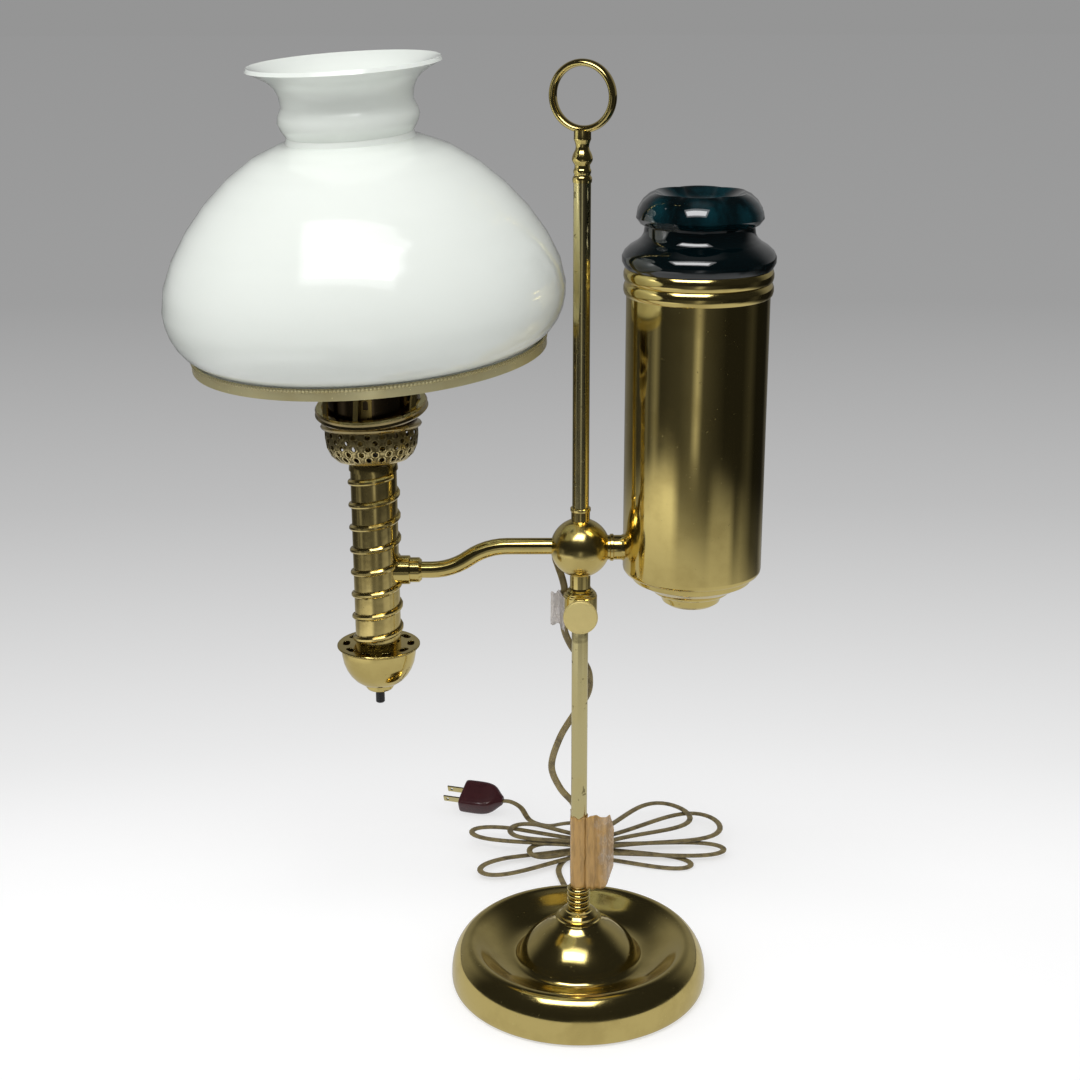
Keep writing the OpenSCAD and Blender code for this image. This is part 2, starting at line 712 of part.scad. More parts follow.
module gallery_ring() {
    color("#8d6c34") at_basket() translate([0, 0, basket_top]) turned([[basket_r - 2, 0],
        [basket_r + 0.9, 0], [basket_r + 2.2, 0.8], [basket_r + 3, 2.3], [basket_r + 2.2, 3.8],
        [basket_r + 0.6, 4.6], [basket_r - 0.4, 4.6], [basket_r - 0.4, 1.2], [basket_r - 2, 1.2]]);
}

module burner_deck() {
    color("#5b4724") at_basket() translate([0, 0, basket_top + 1.2]) turned([[socket_r + 7, 0],
        [basket_r - 0.4, 0], [basket_r - 0.4, 1], [socket_r + 7, 1]]);
}

// Prongs that rise from the deck and hold the shade holder's ring up at its back and sides
module deck_prongs() {
    w = 4;
    r = crown_d / 2;
    color("#5b4724") for (a = [30, 90, 150]) hull() {
        at_basket() rotate([0, 0, a]) translate([27, -w / 2, basket_top + 2.2]) cube([3, w, 0.8]);
        at_crown() rotate([0, 0, a]) translate([r - 4.2, -w / 2, -2.9 - gap - 0.8]) cube([2, w, 0.8]);
    }
}

// Lamp socket and bulb
module socket_strap() {
    color("#8d6c34") at_column() difference() {
        translate([0, 0, socket_z + 1.5]) rotate([0, 0, -106]) rotate_extrude(angle = 32)
            translate([socket_r, 0]) square([1.2, socket_h]);
        for (z = [18, 27.5, 37]) translate([0, -socket_r + 4, socket_z + z + 1.5])
            rotate([90, 90, 0]) slot(7.5, 3.6, 8);
    }
}

module socket_cap() {
    color("#b08a45") at_column() translate([0, 0, socket_z]) spun([[nipple_r, 0], [11, 0], [15.5, 2.2],
        [socket_r, 7], [socket_r, 16]], 0.8);
}

module socket_shell() {
    r = socket_r - 0.8;
    color("#b08a45") at_column() translate([0, 0, socket_z + 11]) tube(r, r - 0.8, socket_h - 2);
}

module socket_insulator() {
    r = socket_r - 1.6;
    color("#e6e1d6") at_column() translate([0, 0, socket_z + 16]) turned([[0, 0], [r, 0],
        [r, socket_h - 8], [13.9, socket_h - 8], [13.9, 12], [0, 12]]);
}

module screw_shell() {
    color("#c9a55a") at_column() translate([0, 0, socket_z + 28]) tube(13.9, 13.4, 23);
}

module bulb_base() {
    color("#b9bbbe") at_column() translate([0, 0, socket_z + 28]) turned([[0, 0], [4, 0], [4, 1],
        [10, 2], [13.4, 4], [13.4, 25], [0, 25]]);
}

module bulb_glass() {
    r = bulb_d / 2;
    color("#f2f0ea") at_column() translate([0, 0, socket_z + 53]) spun(concat([[5, 0]],
        bez([13.2, 0], [14.5, 18], [r, 22], [r, 46], 5),
        arc([0, 46], r, 0, 84, 7)), 0.8);
}

// Shade, its band and its holder
module crown_ring() {
    r = crown_d / 2;
    color("#b08a45") at_crown() turned([[r - 4.6, -2.4], [r - 1.6, -2.8], [r, -1.2], [r - 0.8, 0.6],
        [r - 0.4, 2.4], [r - 1.4, crown_top], [r - 5.2, crown_top], [r - 5.2, 2.8]]);
}

// Each strip's direction and width: three wide arms and one narrow bar in front
strips = [[90, 6.6], [213, 6.6], [327, 6.6], [-103, 3.6]];
strip_t = 1.2;
strip_top = -24;
crown_wall = crown_d / 2 - 3.4;
crown_top = 3.9;

strip_path = [[crown_wall, strip_top], [crown_wall + 1, -19], [crown_wall + 6, -14],
              [60, -ledge - 7], [88, -ledge - 4], [108, -ledge - 1], [band_r - 7, -ledge - 1]];

// A point turned as a rotation by the same angles about X and then Y turns it
function leaned(v, a) = let (y = v[1] * cos(a[0]) - v[2] * sin(a[0]),
    z = v[1] * sin(a[0]) + v[2] * cos(a[0]))
    [v[0] * cos(a[1]) + z * sin(a[1]), y, z * cos(a[1]) - v[0] * sin(a[1])];
// The four corners of a strip at one station: a and b are the radius and height of its two faces
function strip_ring(s, w, a, b, z, lean) = [for (q = [[a, 1], [b, 1], [b, -1], [a, -1]])
    let (r = q[0][0], v = q[1] * w / 2) [-arm_reach, 0, z]
    + leaned([r * cos(s) - v * sin(s), r * sin(s) + v * cos(s), q[0][1]], lean)];

module holder_strip(s, w) {
    faces = beside(strip_path, strip_t);
    last = len(strip_path);
    points = concat(strip_ring(s, w, [crown_wall - strip_t, crown_top], [crown_wall, crown_top],
            crown_z, crown_lean),
        [for (i = [0 : last - 1]) each strip_ring(s, w, strip_path[i], faces[i], band_z, shade_lean)]);
    walls = [for (i = [0 : last - 1], k = [0 : 3]) let (a = i * 4 + k, b = i * 4 + (k + 1) % 4)
        each [[a, a + 4, b], [b, a + 4, b + 4]]];
    ends = [for (k = [1, 2]) each [[0, k, k + 1], [last * 4, last * 4 + k + 1, last * 4 + k]]];
    polyhedron(points, concat(walls, ends));
}

module holder_arms() {
    color("#c9a55a") for (s = strips) holder_strip(s[0], s[1]);
}

module shade_band() {
    wall = sheet * 0.75;
    color("#c9a55a") at_band() turned([[band_r - wall, -band_h], [band_r, -band_h],
        [band_r, -3], [band_r + 0.7, -2.4], [band_r + 0.9, -1.4], [band_r + 0.5, -0.5],
        [band_r - 0.3, -0.3], [band_r - wall, -0.5], [band_r - wall, -ledge],
        [band_r - ledge_w, -ledge], [band_r - ledge_w, -ledge - 1], [band_r - wall, -ledge - 1]]);
}

shade_curve = let (w = shade_d / 2, f = fit_r, r = rim_d / 2, h = shade_h, lip = glass * 0.9)
    concat(
    [[f, gap - ledge], [f, -0.4]],
    bez([f + 2.4, 0.8], [f + 13, 8], [w, 20], [w, 35], 5),
    bez([w, 35], [w, 70], [96, h - 67], [51, h - 54], 7),
    [[51, h - 54], [46, h - 53], [44.6, h - 49], [47.8, h - 44], [49.8, h - 38.5], [49, h - 34]],
    bez([46.2, h - 28], [46.4, h - 13], [54, h - 9.5], [r, h - lip], 5),
    [[r, h - lip]]);

module shade_glass() {
    color("#f4f1e8") at_band() spun(shade_curve, glass);
}

// Tank, its stub and its glass cap
module tank_stub() {
    e = tank_reach - tank_r;
    color("#c9a55a") difference() {
        translate([0, 0, stub_z]) rotate([0, 90, 0]) turned([[0, 10], [stub_r, 10],
            [stub_r, ball_r - 0.6], [stub_r + 0.9, ball_r], [stub_r + 0.9, ball_r + 2],
            [stub_r, ball_r + 2.6], [stub_r, e - 1.4], [stub_r + 2.2, e + 3], [0, e + 3]]);
        translate([0, 0, hub_z]) sphere(r = ball_r);
        translate([tank_reach, 0, tank_z]) cylinder(h = tank_h, r = tank_r);
    }
}

module tank_shell() {
    color("#7a5f31") translate([tank_reach, 0, tank_low]) spun(concat(
        [[seam_r, 0]], arc([tank_r - edge_r, edge_r], edge_r, -90, 0, 4),
        [[tank_r, edge_r + tank_h]]), 0.9);
}

module tank_bottom() {
    r = seam_r;
    f = foot_r;
    color("#7a5f31") translate([tank_reach, 0, tank_low]) turned([[0, -24.4], [18.6, -24.4],
        [21.6, -22.2], [f - 0.4, -17.4], [f, -15.6], [27.4, -15.4], [28.8, -14.4], [29.2, -13.2],
        [35, -9.8], [42.8, -4.8], [44.6, -4.4], [45.2, -3.2], [r, 0], [r, 0.9], [r - 1, 0.9],
        [44.2, -3], [42.6, -3.8], [34.4, -8.8], [28.4, -12.2], [27.8, -13.6], [f - 1, -14.6],
        [f - 1.4, -17.2], [21, -21.4], [18.2, -23.4], [0, -23.4]]);
}

module tank_collar() {
    h = (collar_top - tank_top) / 2;
    color("#c9a55a") translate([tank_reach, 0, tank_top]) turned(concat([[spigot_r + gap, 0]],
        [for (i = [0, 1]) each [for (a = [-75 : 30 : 75])
            [tank_r + 2.6 * cos(a) - 0.4, h * (i + 0.5) + h / 2 * sin(a) / sin(75)]]],
        [[spigot_r + gap, 2 * h]]));
}

petals = 6;
petal_off = 16;
petal_start = -64;
cap_steps = 60;

// The cap's outline from the middle of its underside to the middle of its dish. Each point has
// its radius, its height and whether the six petals show there
cap_curve = let (k = cap_h - 53, s = spigot_r - 4) concat(
    [[s - 3, 9, 0], [s, 6, 0], [s, -8, 0], [spigot_r, -8, 0], [spigot_r, 0, 0]],
    [for (q = bez([cap_r - 2.6, 0], [cap_r + 2.6, 7], [cap_r - 1, 13], [cap_r - 11, 18], 5))
        [q[0], q[1], 0]],
    [for (q = bez([cap_r - 11, 18], [41, 21], [39.4, 23], [39.6, 28], 3)) [q[0], q[1], 0]],
    [[39.8, 29.5, 0.2], [44.6, 32, 1], [47.5, 36 + k, 1], [46.6, 41 + k, 1], [43, 47 + k, 1],
     [38.4, 51 + k, 1], [34, cap_h, 1], [31, cap_h - 0.8, 0.7], [24, cap_h - 5, 0.2],
     [12, cap_h - 8, 0]]);
// The radius of the petals at an angle, where r is their greatest
function petal_at(r, a) = let (f = abs(((a - petal_start + 3630) % 60) - 30), p = 30 - f,
    q = r - petal_off) petal_off * cos(p) + sqrt(q * q - pow(petal_off * sin(p), 2));
function cap_point(c, a) = let (r = c[2] > 0 ? c[0] + c[2] * (petal_at(c[0], a) - c[0]) : c[0])
    [r * cos(a), r * sin(a), c[1]];

module tank_cap() {
    n = cap_steps;
    m = len(cap_curve);
    rings = [for (c = cap_curve, i = [0 : n - 1]) cap_point(c, petal_start + 360 * i / n)];
    walls = [for (j = [0 : m - 2], i = [0 : n - 1]) let (a = j * n + i, b = j * n + (i + 1) % n)
        each [[a, a + n, b], [b, a + n, b + n]]];
    ends = [for (i = [0 : n - 1]) each [[m * n, i, (i + 1) % n],
        [m * n + 1, (m - 1) * n + (i + 1) % n, (m - 1) * n + i]]];
    color("#0d2430") translate([tank_reach, 0, collar_top + gap]) polyhedron(
        concat(rings, [[0, 0, 9], [0, 0, cap_h - 8.5]]), concat(walls, ends));
}

base_shell();
base_weight();
felt_pad();
base_flange();
neck_rings();
pole();
pole_nut();
finial_stem();
finial_ring();
pole_tape();
cord_tail();
cord_hank();
cord_lead();
plug_body();
plug_blades();
clamp_collar();
clamp_washer();
clamp_tail();
clamp_tape();
cord_run();
thumb_screw();
hub_ball();
hub_sleeve();
cord_relief();
cord_neck();
arm_wire();
arm_tube();
arm_ferrule();
column_tube();
column_rib();
column_cap();
column_wires();
socket_nipple();
cup_plate();
cup_bowl();
cup_nut();
switch_body();
switch_spring();
switch_button();
burner_basket();
gallery_ring();
burner_deck();
deck_prongs();
socket_strap();
socket_cap();
socket_shell();
socket_insulator();
screw_shell();
bulb_base();
bulb_glass();
tank_stub();
tank_shell();
tank_bottom();
tank_collar();
crown_ring();
holder_arms();
shade_band();
shade_glass();
tank_cap();
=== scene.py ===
"""Finishes the two-armed student lamp: polished brass, white and teal glass, flat cord, tape and
plug, on a pale floor under studio light. Lengths in the tables are millimetres."""

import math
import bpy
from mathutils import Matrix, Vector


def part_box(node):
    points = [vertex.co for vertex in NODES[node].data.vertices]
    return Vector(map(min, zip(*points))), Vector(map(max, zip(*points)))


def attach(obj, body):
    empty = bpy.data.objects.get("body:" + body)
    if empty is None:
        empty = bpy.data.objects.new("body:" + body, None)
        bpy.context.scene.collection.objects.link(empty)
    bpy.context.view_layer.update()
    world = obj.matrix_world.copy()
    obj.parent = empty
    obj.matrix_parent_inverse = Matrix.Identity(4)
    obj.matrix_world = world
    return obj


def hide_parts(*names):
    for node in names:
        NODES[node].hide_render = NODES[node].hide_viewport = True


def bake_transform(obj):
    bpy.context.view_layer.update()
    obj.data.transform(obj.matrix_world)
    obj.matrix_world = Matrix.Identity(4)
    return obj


bl_info = {
    "name": "Student lamp",
    "version": (1, 0, 0),
    "blender": (4, 5, 0),
    "location": "View3D > Sidebar > Student lamp",
    "description": "Finishes, cord, tapes, plug, camera and studio for a two-armed student lamp",
    "category": "Object",
}

import bmesh
import bpy
from mathutils import Matrix, Vector, noise

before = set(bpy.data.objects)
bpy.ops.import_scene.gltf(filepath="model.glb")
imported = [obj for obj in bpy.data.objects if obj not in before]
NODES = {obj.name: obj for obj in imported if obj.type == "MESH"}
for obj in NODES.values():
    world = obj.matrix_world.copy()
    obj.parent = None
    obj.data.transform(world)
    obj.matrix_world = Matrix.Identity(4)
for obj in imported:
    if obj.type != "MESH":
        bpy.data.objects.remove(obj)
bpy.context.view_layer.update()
MM = 0.001

# Places on the lamp, shared by the pieces below. A lean is its turns about X and Y, in degrees.
HUB_Z = 368.0
ARM_REACH = 153.5
TANK_TOP = 579.3
CUP_Z = 289.5
COLUMN_FOOT = 291.5
SEAT_Z = 429.55
BASKET_LEAN = (-6.0, -1.6)
BASKET_TOP = SEAT_Z + 31.0
CROWN_Z = 476.5
BAND_Z = 526.3
BAND_LEAN = (2.04, -3.32)
BELL_Z = 56.0
UPRIGHT = (0.0, 0.0)


# Shader expressions


class Value:
    """A shader socket that can be used in Python sums: each operator adds its Math node."""

    def __init__(self, shader, socket):
        self.shader, self.socket = shader, socket

    def maths(self, operation, *others):
        inputs = dict(enumerate((self, *others)))
        return self.shader.add("ShaderNodeMath", {"operation": operation}, inputs)

    def __add__(self, other):
        return self.maths("ADD", other)

    __radd__ = __add__

    def __sub__(self, other):
        return self.maths("SUBTRACT", other)

    def __rsub__(self, other):
        return self.shader.add("ShaderNodeMath", {"operation": "SUBTRACT"}, {0: other, 1: self})

    def __mul__(self, other):
        return self.maths("MULTIPLY", other)

    __rmul__ = __mul__

    def __truediv__(self, other):
        return self.maths("DIVIDE", other)

    def __pow__(self, other):
        return self.maths("POWER", other)

    def __abs__(self):
        return self.maths("ABSOLUTE")


class Shader:
    """One material or world: adds nodes, and hands back their outputs as Values."""

    def __init__(self, owner):
        owner.use_nodes = True
        self.tree = owner.node_tree
        self.tree.nodes.clear()

    def add(self, kind, settings=None, inputs=None, output=0):
        """A node with its settings and inputs, as the Value of one output."""
        node = self.tree.nodes.new(kind)
        for key, value in (settings or {}).items():
            setattr(node, key, value)
        for key, value in (inputs or {}).items():
            self.feed(node.inputs[key], value)
        return Value(self, node.outputs[output]) if node.outputs else None

    def feed(self, socket, value):
        """Links a Value to a socket, or sets its number or colour."""
        if isinstance(value, Value):
            self.tree.links.new(value.socket, socket)
        elif hasattr(value, "__len__") and len(socket.default_value) == 4 and len(value) == 3:
            socket.default_value = (*value, 1.0)
        else:
            socket.default_value = value

    def place(self):
        """The point of the surface in metres."""
        return self.add("ShaderNodeTexCoord", output="Object")

    def parts(self, vector):
        """X, Y and Z of a vector."""
        split = self.add("ShaderNodeSeparateXYZ", None, {0: vector}).socket.node
        return [Value(self, socket) for socket in split.outputs]

    def vector(self, operation, first, second):
        return self.add("ShaderNodeVectorMath", {"operation": operation}, {0: first, 1: second})

    def noise(self, scale, detail=3.0, where=None):
        """Noise with so many lumps in a metre."""
        where = where or self.place()
        inputs = {"Vector": where, "Scale": scale, "Detail": detail, "Roughness": 0.55}
        return self.add("ShaderNodeTexNoise", None, inputs)

    def step(self, value, low, high):
        """0 below low, 1 above high, and smooth between them."""
        inputs = {"Value": value, "From Min": low, "From Max": high}
        return self.add("ShaderNodeMapRange", {"interpolation_type": "SMOOTHSTEP"}, inputs)

    def ramp(self, value, stops):
        """A colour by a table of (value, colour)."""
        made = self.add("ShaderNodeValToRGB", None, {0: value})
        elements = made.socket.node.color_ramp.elements
        for place, _ in stops[1:-1]:
            elements.new(place)
        for element, (place, colour) in zip(elements, stops):
            element.position, element.color = place, (*colour, 1.0)
        return made

    def band(self, value, low, high, edge):
        """1 between two values, with a smooth edge inside each."""
        return self.step(value, low, low + edge) * (1 - self.step(value, high - edge, high))

    def mix(self, factor, first, second):
        """The first colour at factor 0, the second at 1."""
        settings = {"data_type": "RGBA", "clamp_factor": True}
        return self.add("ShaderNodeMix", settings, {0: factor, 6: first, 7: second}, output=2)

    def bump(self, height, distance=1.0, strength=1.0):
        """A height in metres, times distance, as a Normal."""
        inputs = {"Height": height, "Distance": distance, "Strength": strength}
        return self.add("ShaderNodeBump", None, inputs)

    def surface(self, **sockets):
        """The material's Principled shader. Names use _ for a space."""
        named = {key.replace("_", " "): value for key, value in sockets.items()}
        made = self.add("ShaderNodeBsdfPrincipled", None, named)
        self.add("ShaderNodeOutputMaterial", None, {"Surface": made})


def material(name):
    """A new material and its Shader."""
    made = bpy.data.materials.new(name)
    return made, Shader(made)


def cover(obj, made):
    """Gives a piece one material in every slot."""
    if obj.data.materials:
        for i in range(len(obj.data.materials)):
            obj.data.materials[i] = made
    else:
        obj.data.materials.append(made)


# Finishes

WORN = (0.2, 0.15, 0.07)


def polished_brass(name, gold, shade, rough, age, wave=6e-5, extra=None, metal=1.0):
    """Lacquered brass, with clouds as strong as age, dull specks, hair lines and a waviness of
    wave metres. extra(shader, place) may return a mask that darkens it and a height."""
    made, s = material(name)
    place = s.place()
    clouds = s.step(s.noise(34.0, 4.0, place), 0.42, 0.7)
    specks = s.step(s.noise(420.0, 2.0, place), 0.7, 0.78)
    stretch = s.vector("MULTIPLY", place, (1.0, 1.0, 0.06))
    hairs = s.noise(2600.0, 2.0, stretch)
    colour = s.mix(clouds * age, gold, shade)
    colour = s.mix(specks * (0.6 * age), colour, [c * 0.35 for c in shade])
    height = s.noise(26.0, 1.0, place) * wave + hairs * 1.2e-6
    roughness = rough + clouds * 0.05 + specks * 0.25 + hairs * 0.03
    if extra:
        dark, more = extra(s, place)
        colour = s.mix(dark, colour, [c * 0.22 for c in shade])
        roughness = roughness + dark * 0.25
        height = height + more
    s.surface(Base_Color=colour, Metallic=metal, Roughness=roughness, Normal=s.bump(height))
    return made


def own_place(s, place, centre, lean=UPRIGHT):
    """X, Y and Z in metres along the axes of a part that leans about its centre."""
    local = s.vector("SUBTRACT", place, [c * MM for c in centre])
    for axis, angle in (((0, 1, 0), -lean[1]), ((1, 0, 0), -lean[0])):
        inputs = {"Vector": local, "Axis": axis, "Angle": math.radians(angle)}
        local = s.add("ShaderNodeVectorRotate", {"rotation_type": "AXIS_ANGLE"}, inputs)
    return s.parts(local)


def turns_about(x, y):
    """The angle of a point about Z, in turns."""
    return y.maths("ARCTAN2", x) / (2 * math.pi)


def milled(count, low, high, centre, depth, lean=UPRIGHT):
    """So many fine upright teeth between two heights on a part, as deep as depth in metres, with
    painted shade in the grooves between them.
    """

    def extra(s, place):
        x, y, z = own_place(s, place, centre, lean)
        band = s.band(z, low * MM, high * MM, 0.3 * MM)
        teeth = (turns_about(x, y) * (2 * math.pi * count)).maths("SINE") * 0.5 + 0.5
        # The grooves between the teeth are darkened: painted shade.
        return (1 - teeth) * band * 0.55, teeth * band * depth

    return extra


def pierced(s, place):
    """Raised six-sided rims round the basket's holes, with painted shade and patchy dirt between
    them, and painted shade above them under the gallery ring.
    """
    holes, first, pitch = 20.0, 11.0, 4.4
    x, y, z = own_place(s, place, (-ARM_REACH, 0.0, SEAT_Z), BASKET_LEAN)
    radius = (x * x + y * y) ** 0.5
    row = (z / MM - first) / pitch
    whole = row.maths("ROUND")
    odd = abs(whole.maths("MODULO", 2.0))
    column = turns_about(x, y) * holes + 2 * holes - odd * 0.5
    # Millimetres from the nearest hole's middle: along, up and six-sided with rounded corners
    across = abs(column - column.maths("ROUND")) * (2 * math.pi / holes) * radius / MM
    up = abs(row - whole) * pitch
    ring = across.maths("MAXIMUM", across * 0.5 + up * 0.866)
    ring = ring.maths("MAXIMUM", (across * across + up * up) ** 0.5 * 0.93)
    rim = s.step(ring, 1.7, 2.1) * (1 - s.step(ring, 2.7, 3.25))
    inside = s.step(z, 7.5 * MM, 8.5 * MM) * (1 - s.step(z, 30.6 * MM, 31.0 * MM))
    # Darker between the rims, in patches: painted shade in the recesses, with dirt.
    between = (1 - rim) * s.step(s.noise(300.0, 3.0, place), 0.25, 0.6)
    # Darker over the upper rows as well: painted shade under the gallery ring.
    dark = between.maths("MAXIMUM", s.step(z, 18.5 * MM, 21.0 * MM) * 0.75)
    return dark * inside * 0.9, rim * inside * 0.0007


def tape_marks(s, place):
    """A smear of old tape under the clamp, and small dark spots up the pole."""
    _, _, z = s.parts(place)
    smear = s.band(z, 292 * MM, 302 * MM, 2 * MM) * s.step(s.noise(90.0, 3.0, place), 0.3, 0.6)
    spots = s.step(s.noise(150.0, 2.0, place), 0.66, 0.72)
    mask = (smear * 0.5).maths("MAXIMUM", spots * 0.7)
    return mask, mask * 5e-5


def spiral_crease_shade(s, place):
    """Painted shade along both creases of the spiral bead, broken into patches."""
    pitch, start_z, start_turn, bead_half = 17.6, 2.55, 130.0 / 360.0, 2.6
    x, y, z = own_place(s, place, (-ARM_REACH, 0.0, COLUMN_FOOT))
    along = (z / MM - start_z) / pitch - turns_about(x, y) + start_turn
    off = abs(along - along.maths("ROUND")) * pitch
    # Dark lines at both edges of the bead: painted shade in its creases.
    line = 1 - s.step(abs(off - bead_half), 0.2, 1.1)
    line = line * s.step(s.noise(220.0, 3.0, place), 0.35, 0.7)
    return line * 0.85, s.noise(60.0, 2.0, place) * 1.2e-4


def glass_white(settings):
    """Opal glass: faintly clouded, glossy, with a soft glow from inside."""
    made, s = material("opal_glass")
    clouds = s.noise(9.0, 2.0)
    colour = s.mix(clouds, settings.glass_colour, [c * 0.975 for c in settings.glass_colour])
    s.surface(
        Base_Color=colour,
        Roughness=0.09 + s.noise(60.0, 2.0) * 0.03,
        Subsurface_Weight=0.12, Subsurface_Radius=(0.01, 0.01, 0.01), Subsurface_Scale=1.0,
        Coat_Weight=0.6, Coat_Roughness=0.03,
        Specular_IOR_Level=0.55,
        Normal=s.bump(s.noise(20.0, 1.0), 6e-5),
    )
    return made


def glass_teal(settings):
    """Dark pressed glass, with painted light in streaks near the top."""
    made, s = material("teal_glass")
    place = s.place()
    _, _, z = s.parts(place)
    # Lighter streaks towards the top: painted light showing through the glass.
    upper = s.step(z, (TANK_TOP + 26.0) * MM, (TANK_TOP + 44.0) * MM)
    streak = s.noise(42.0, 3.0, s.vector("MULTIPLY", place, (1.0, 1.0, 0.35)))
    painted_light = upper * s.step(streak, 0.4, 0.68)
    colour = s.mix(painted_light, [c * 0.12 for c in settings.cap_colour], settings.cap_colour)
    s.surface(
        Base_Color=colour,
        Roughness=0.04 + streak * 0.02,
        Coat_Weight=1.0, Coat_Roughness=0.02,
        Specular_IOR_Level=0.6,
        Normal=s.bump(s.noise(70.0, 2.0, place), 1.8e-4),
    )
    return made


def plain(name, colour, rough, metal=0.0, grain=600.0, depth=2e-5, vary=0.25):
    """A finish of one colour that varies a little: grains in a metre, and depth in metres."""
    made, s = material(name)
    clouds = s.noise(grain * 0.2, 4.0)
    s.surface(
        Base_Color=s.mix(clouds * vary, colour, [c * 0.45 for c in colour]),
        Metallic=metal,
        Roughness=rough + clouds * 0.1,
        Normal=s.bump(s.noise(grain, 3.0), depth),
    )
    return made


def cord_cover(settings):
    """Olive-brown plastic with darker patches."""
    made, s = material("cord_cover")
    place = s.place()
    clouds = s.noise(160.0, 3.0, place)
    colour = s.mix(s.step(clouds, 0.35, 0.75) * 0.7, settings.cord_colour, (0.06, 0.042, 0.02))
    s.surface(
        Base_Color=colour,
        Roughness=0.24 + clouds * 0.12,
        Coat_Weight=0.35, Coat_Roughness=0.2,
        Normal=s.bump(s.noise(900.0, 2.0, place), 3e-5),
    )
    return made


def tape_film(name, colour, pale, glue_from, glue_to):
    """Old clear tape: a streaked film, with pale dried glue and fine creases on its free part.
    The glue shows from glue_from to glue_to onwards, which are values of X in millimetres."""
    made, s = material(name)
    place = s.place()
    x, _, _ = s.parts(place)
    inputs = {"Vector": s.vector("MULTIPLY", place, (1.0, 1.0, 0.45)), "Scale": 210.0}
    cells = s.add("ShaderNodeTexVoronoi", {"feature": "DISTANCE_TO_EDGE"}, inputs)
    soft = s.noise(90.0, 4.0, place)
    glue = s.step(x / MM + (soft - 0.5) * 26.0, glue_from, glue_to)
    crease = 1 - s.step(cells, 0.0, 0.09)
    folds = s.noise(240.0, 3.0, s.vector("MULTIPLY", place, (1.6, 1.6, 0.25)))
    colour = s.mix(s.step(folds, 0.4, 0.7) * 0.75, colour, [c * 0.58 for c in colour])
    colour = s.mix(glue * (0.3 + s.step(soft, 0.45, 0.7) * 0.45 + crease * 0.2), colour, pale)
    s.surface(
        Base_Color=colour,
        Roughness=0.22 + glue * 0.25,
        Alpha=0.93 - glue * (1 - crease) * 0.3,
        Coat_Weight=0.4, Coat_Roughness=0.12,
        Normal=s.bump(folds * 0.0007 + crease * glue * 0.0003, 1.0, 0.8),
    )
    made.surface_render_method = "DITHERED"
    return made


# Geometry helpers


def make_mesh(name, points, faces):
    """A linked object from points in metres, with its faces turned outwards."""
    mesh = bpy.data.meshes.new(name)
    mesh.from_pydata([tuple(p) for p in points], [], faces)
    mesh.validate()
    shape = bmesh.new()
    shape.from_mesh(mesh)
    bmesh.ops.recalc_face_normals(shape, faces=shape.faces)
    shape.to_mesh(mesh)
    shape.free()
    for face in mesh.polygons:
        face.use_smooth = True
    obj = bpy.data.objects.new(name, mesh)
    bpy.context.scene.collection.objects.link(obj)
    return obj


def sheet_faces(rows, count, keep=None):
    """Faces of a grid of rows with count points each, or those for which keep(row, i) holds."""
    return [
        (j * count + i, j * count + i + 1, (j + 1) * count + i + 1, (j + 1) * count + i)
        for j in range(rows - 1)
        for i in range(count - 1)
        if keep is None or keep(j, i)
    ]


def tube_faces(rings, count, closed):
    """Faces between closed rings of so many points: closed joins the last ring to the first."""
    return [
        (j * count + i, j * count + (i + 1) % count,
         (j + 1) % rings * count + (i + 1) % count, (j + 1) % rings * count + i)
        for j in range(rings if closed else rings - 1)
        for i in range(count)
    ]


def loft(name, rings):
    """Closed rings of as many points each, joined side by side, with flat ends."""
    count = len(rings[0])
    faces = tube_faces(len(rings), count, False)
    faces.append(tuple(range(count - 1, -1, -1)))
    faces.append(tuple((len(rings) - 1) * count + k for k in range(count)))
    return make_mesh(name, [p for ring in rings for p in ring], faces)


def soften(angle=30.0):
    """A modifier for the solids' meshes that smooths edges up to an angle."""
    tree = bpy.data.node_groups.new("soft_edges", "GeometryNodeTree")
    tree.interface.new_socket("Geometry", in_out="INPUT", socket_type="NodeSocketGeometry")
    tree.interface.new_socket("Geometry", in_out="OUTPUT", socket_type="NodeSocketGeometry")
    kinds = ("NodeGroupInput", "GeometryNodeRemoveAttribute", "GeometryNodeMergeByDistance",
             "GeometryNodeSetShadeSmooth", "GeometryNodeSetShadeSmooth", "NodeGroupOutput")
    chain = [tree.nodes.new(kind) for kind in kinds]
    _, plain_normals, join, _, edges, _ = chain
    plain_normals.inputs["Name"].default_value = "custom_normal"
    join.inputs["Distance"].default_value = 2e-6
    edges.domain = "EDGE"
    edges.inputs["Shade Smooth"].default_value = False
    fold = tree.nodes.new("GeometryNodeInputMeshEdgeAngle")
    sharp = tree.nodes.new("FunctionNodeCompare")
    sharp.operation = "GREATER_THAN"
    sharp.inputs[1].default_value = math.radians(angle)
    tree.links.new(fold.outputs["Unsigned Angle"], sharp.inputs[0])
    tree.links.new(sharp.outputs[0], edges.inputs["Selection"])
    for first, second in zip(chain, chain[1:]):
        tree.links.new(first.outputs[0], second.inputs[0])
    return tree


def finish_nodes(nodes, made, soft):
    """One finish and soft edges for some of the solids' meshes."""
    for node in nodes:
        cover(NODES[node], made)
        NODES[node].modifiers.new("Soft edges", "NODES").node_group = soft


# Cord routes, as in the solids. A bight is the X, Y and half width of one end of the hank.

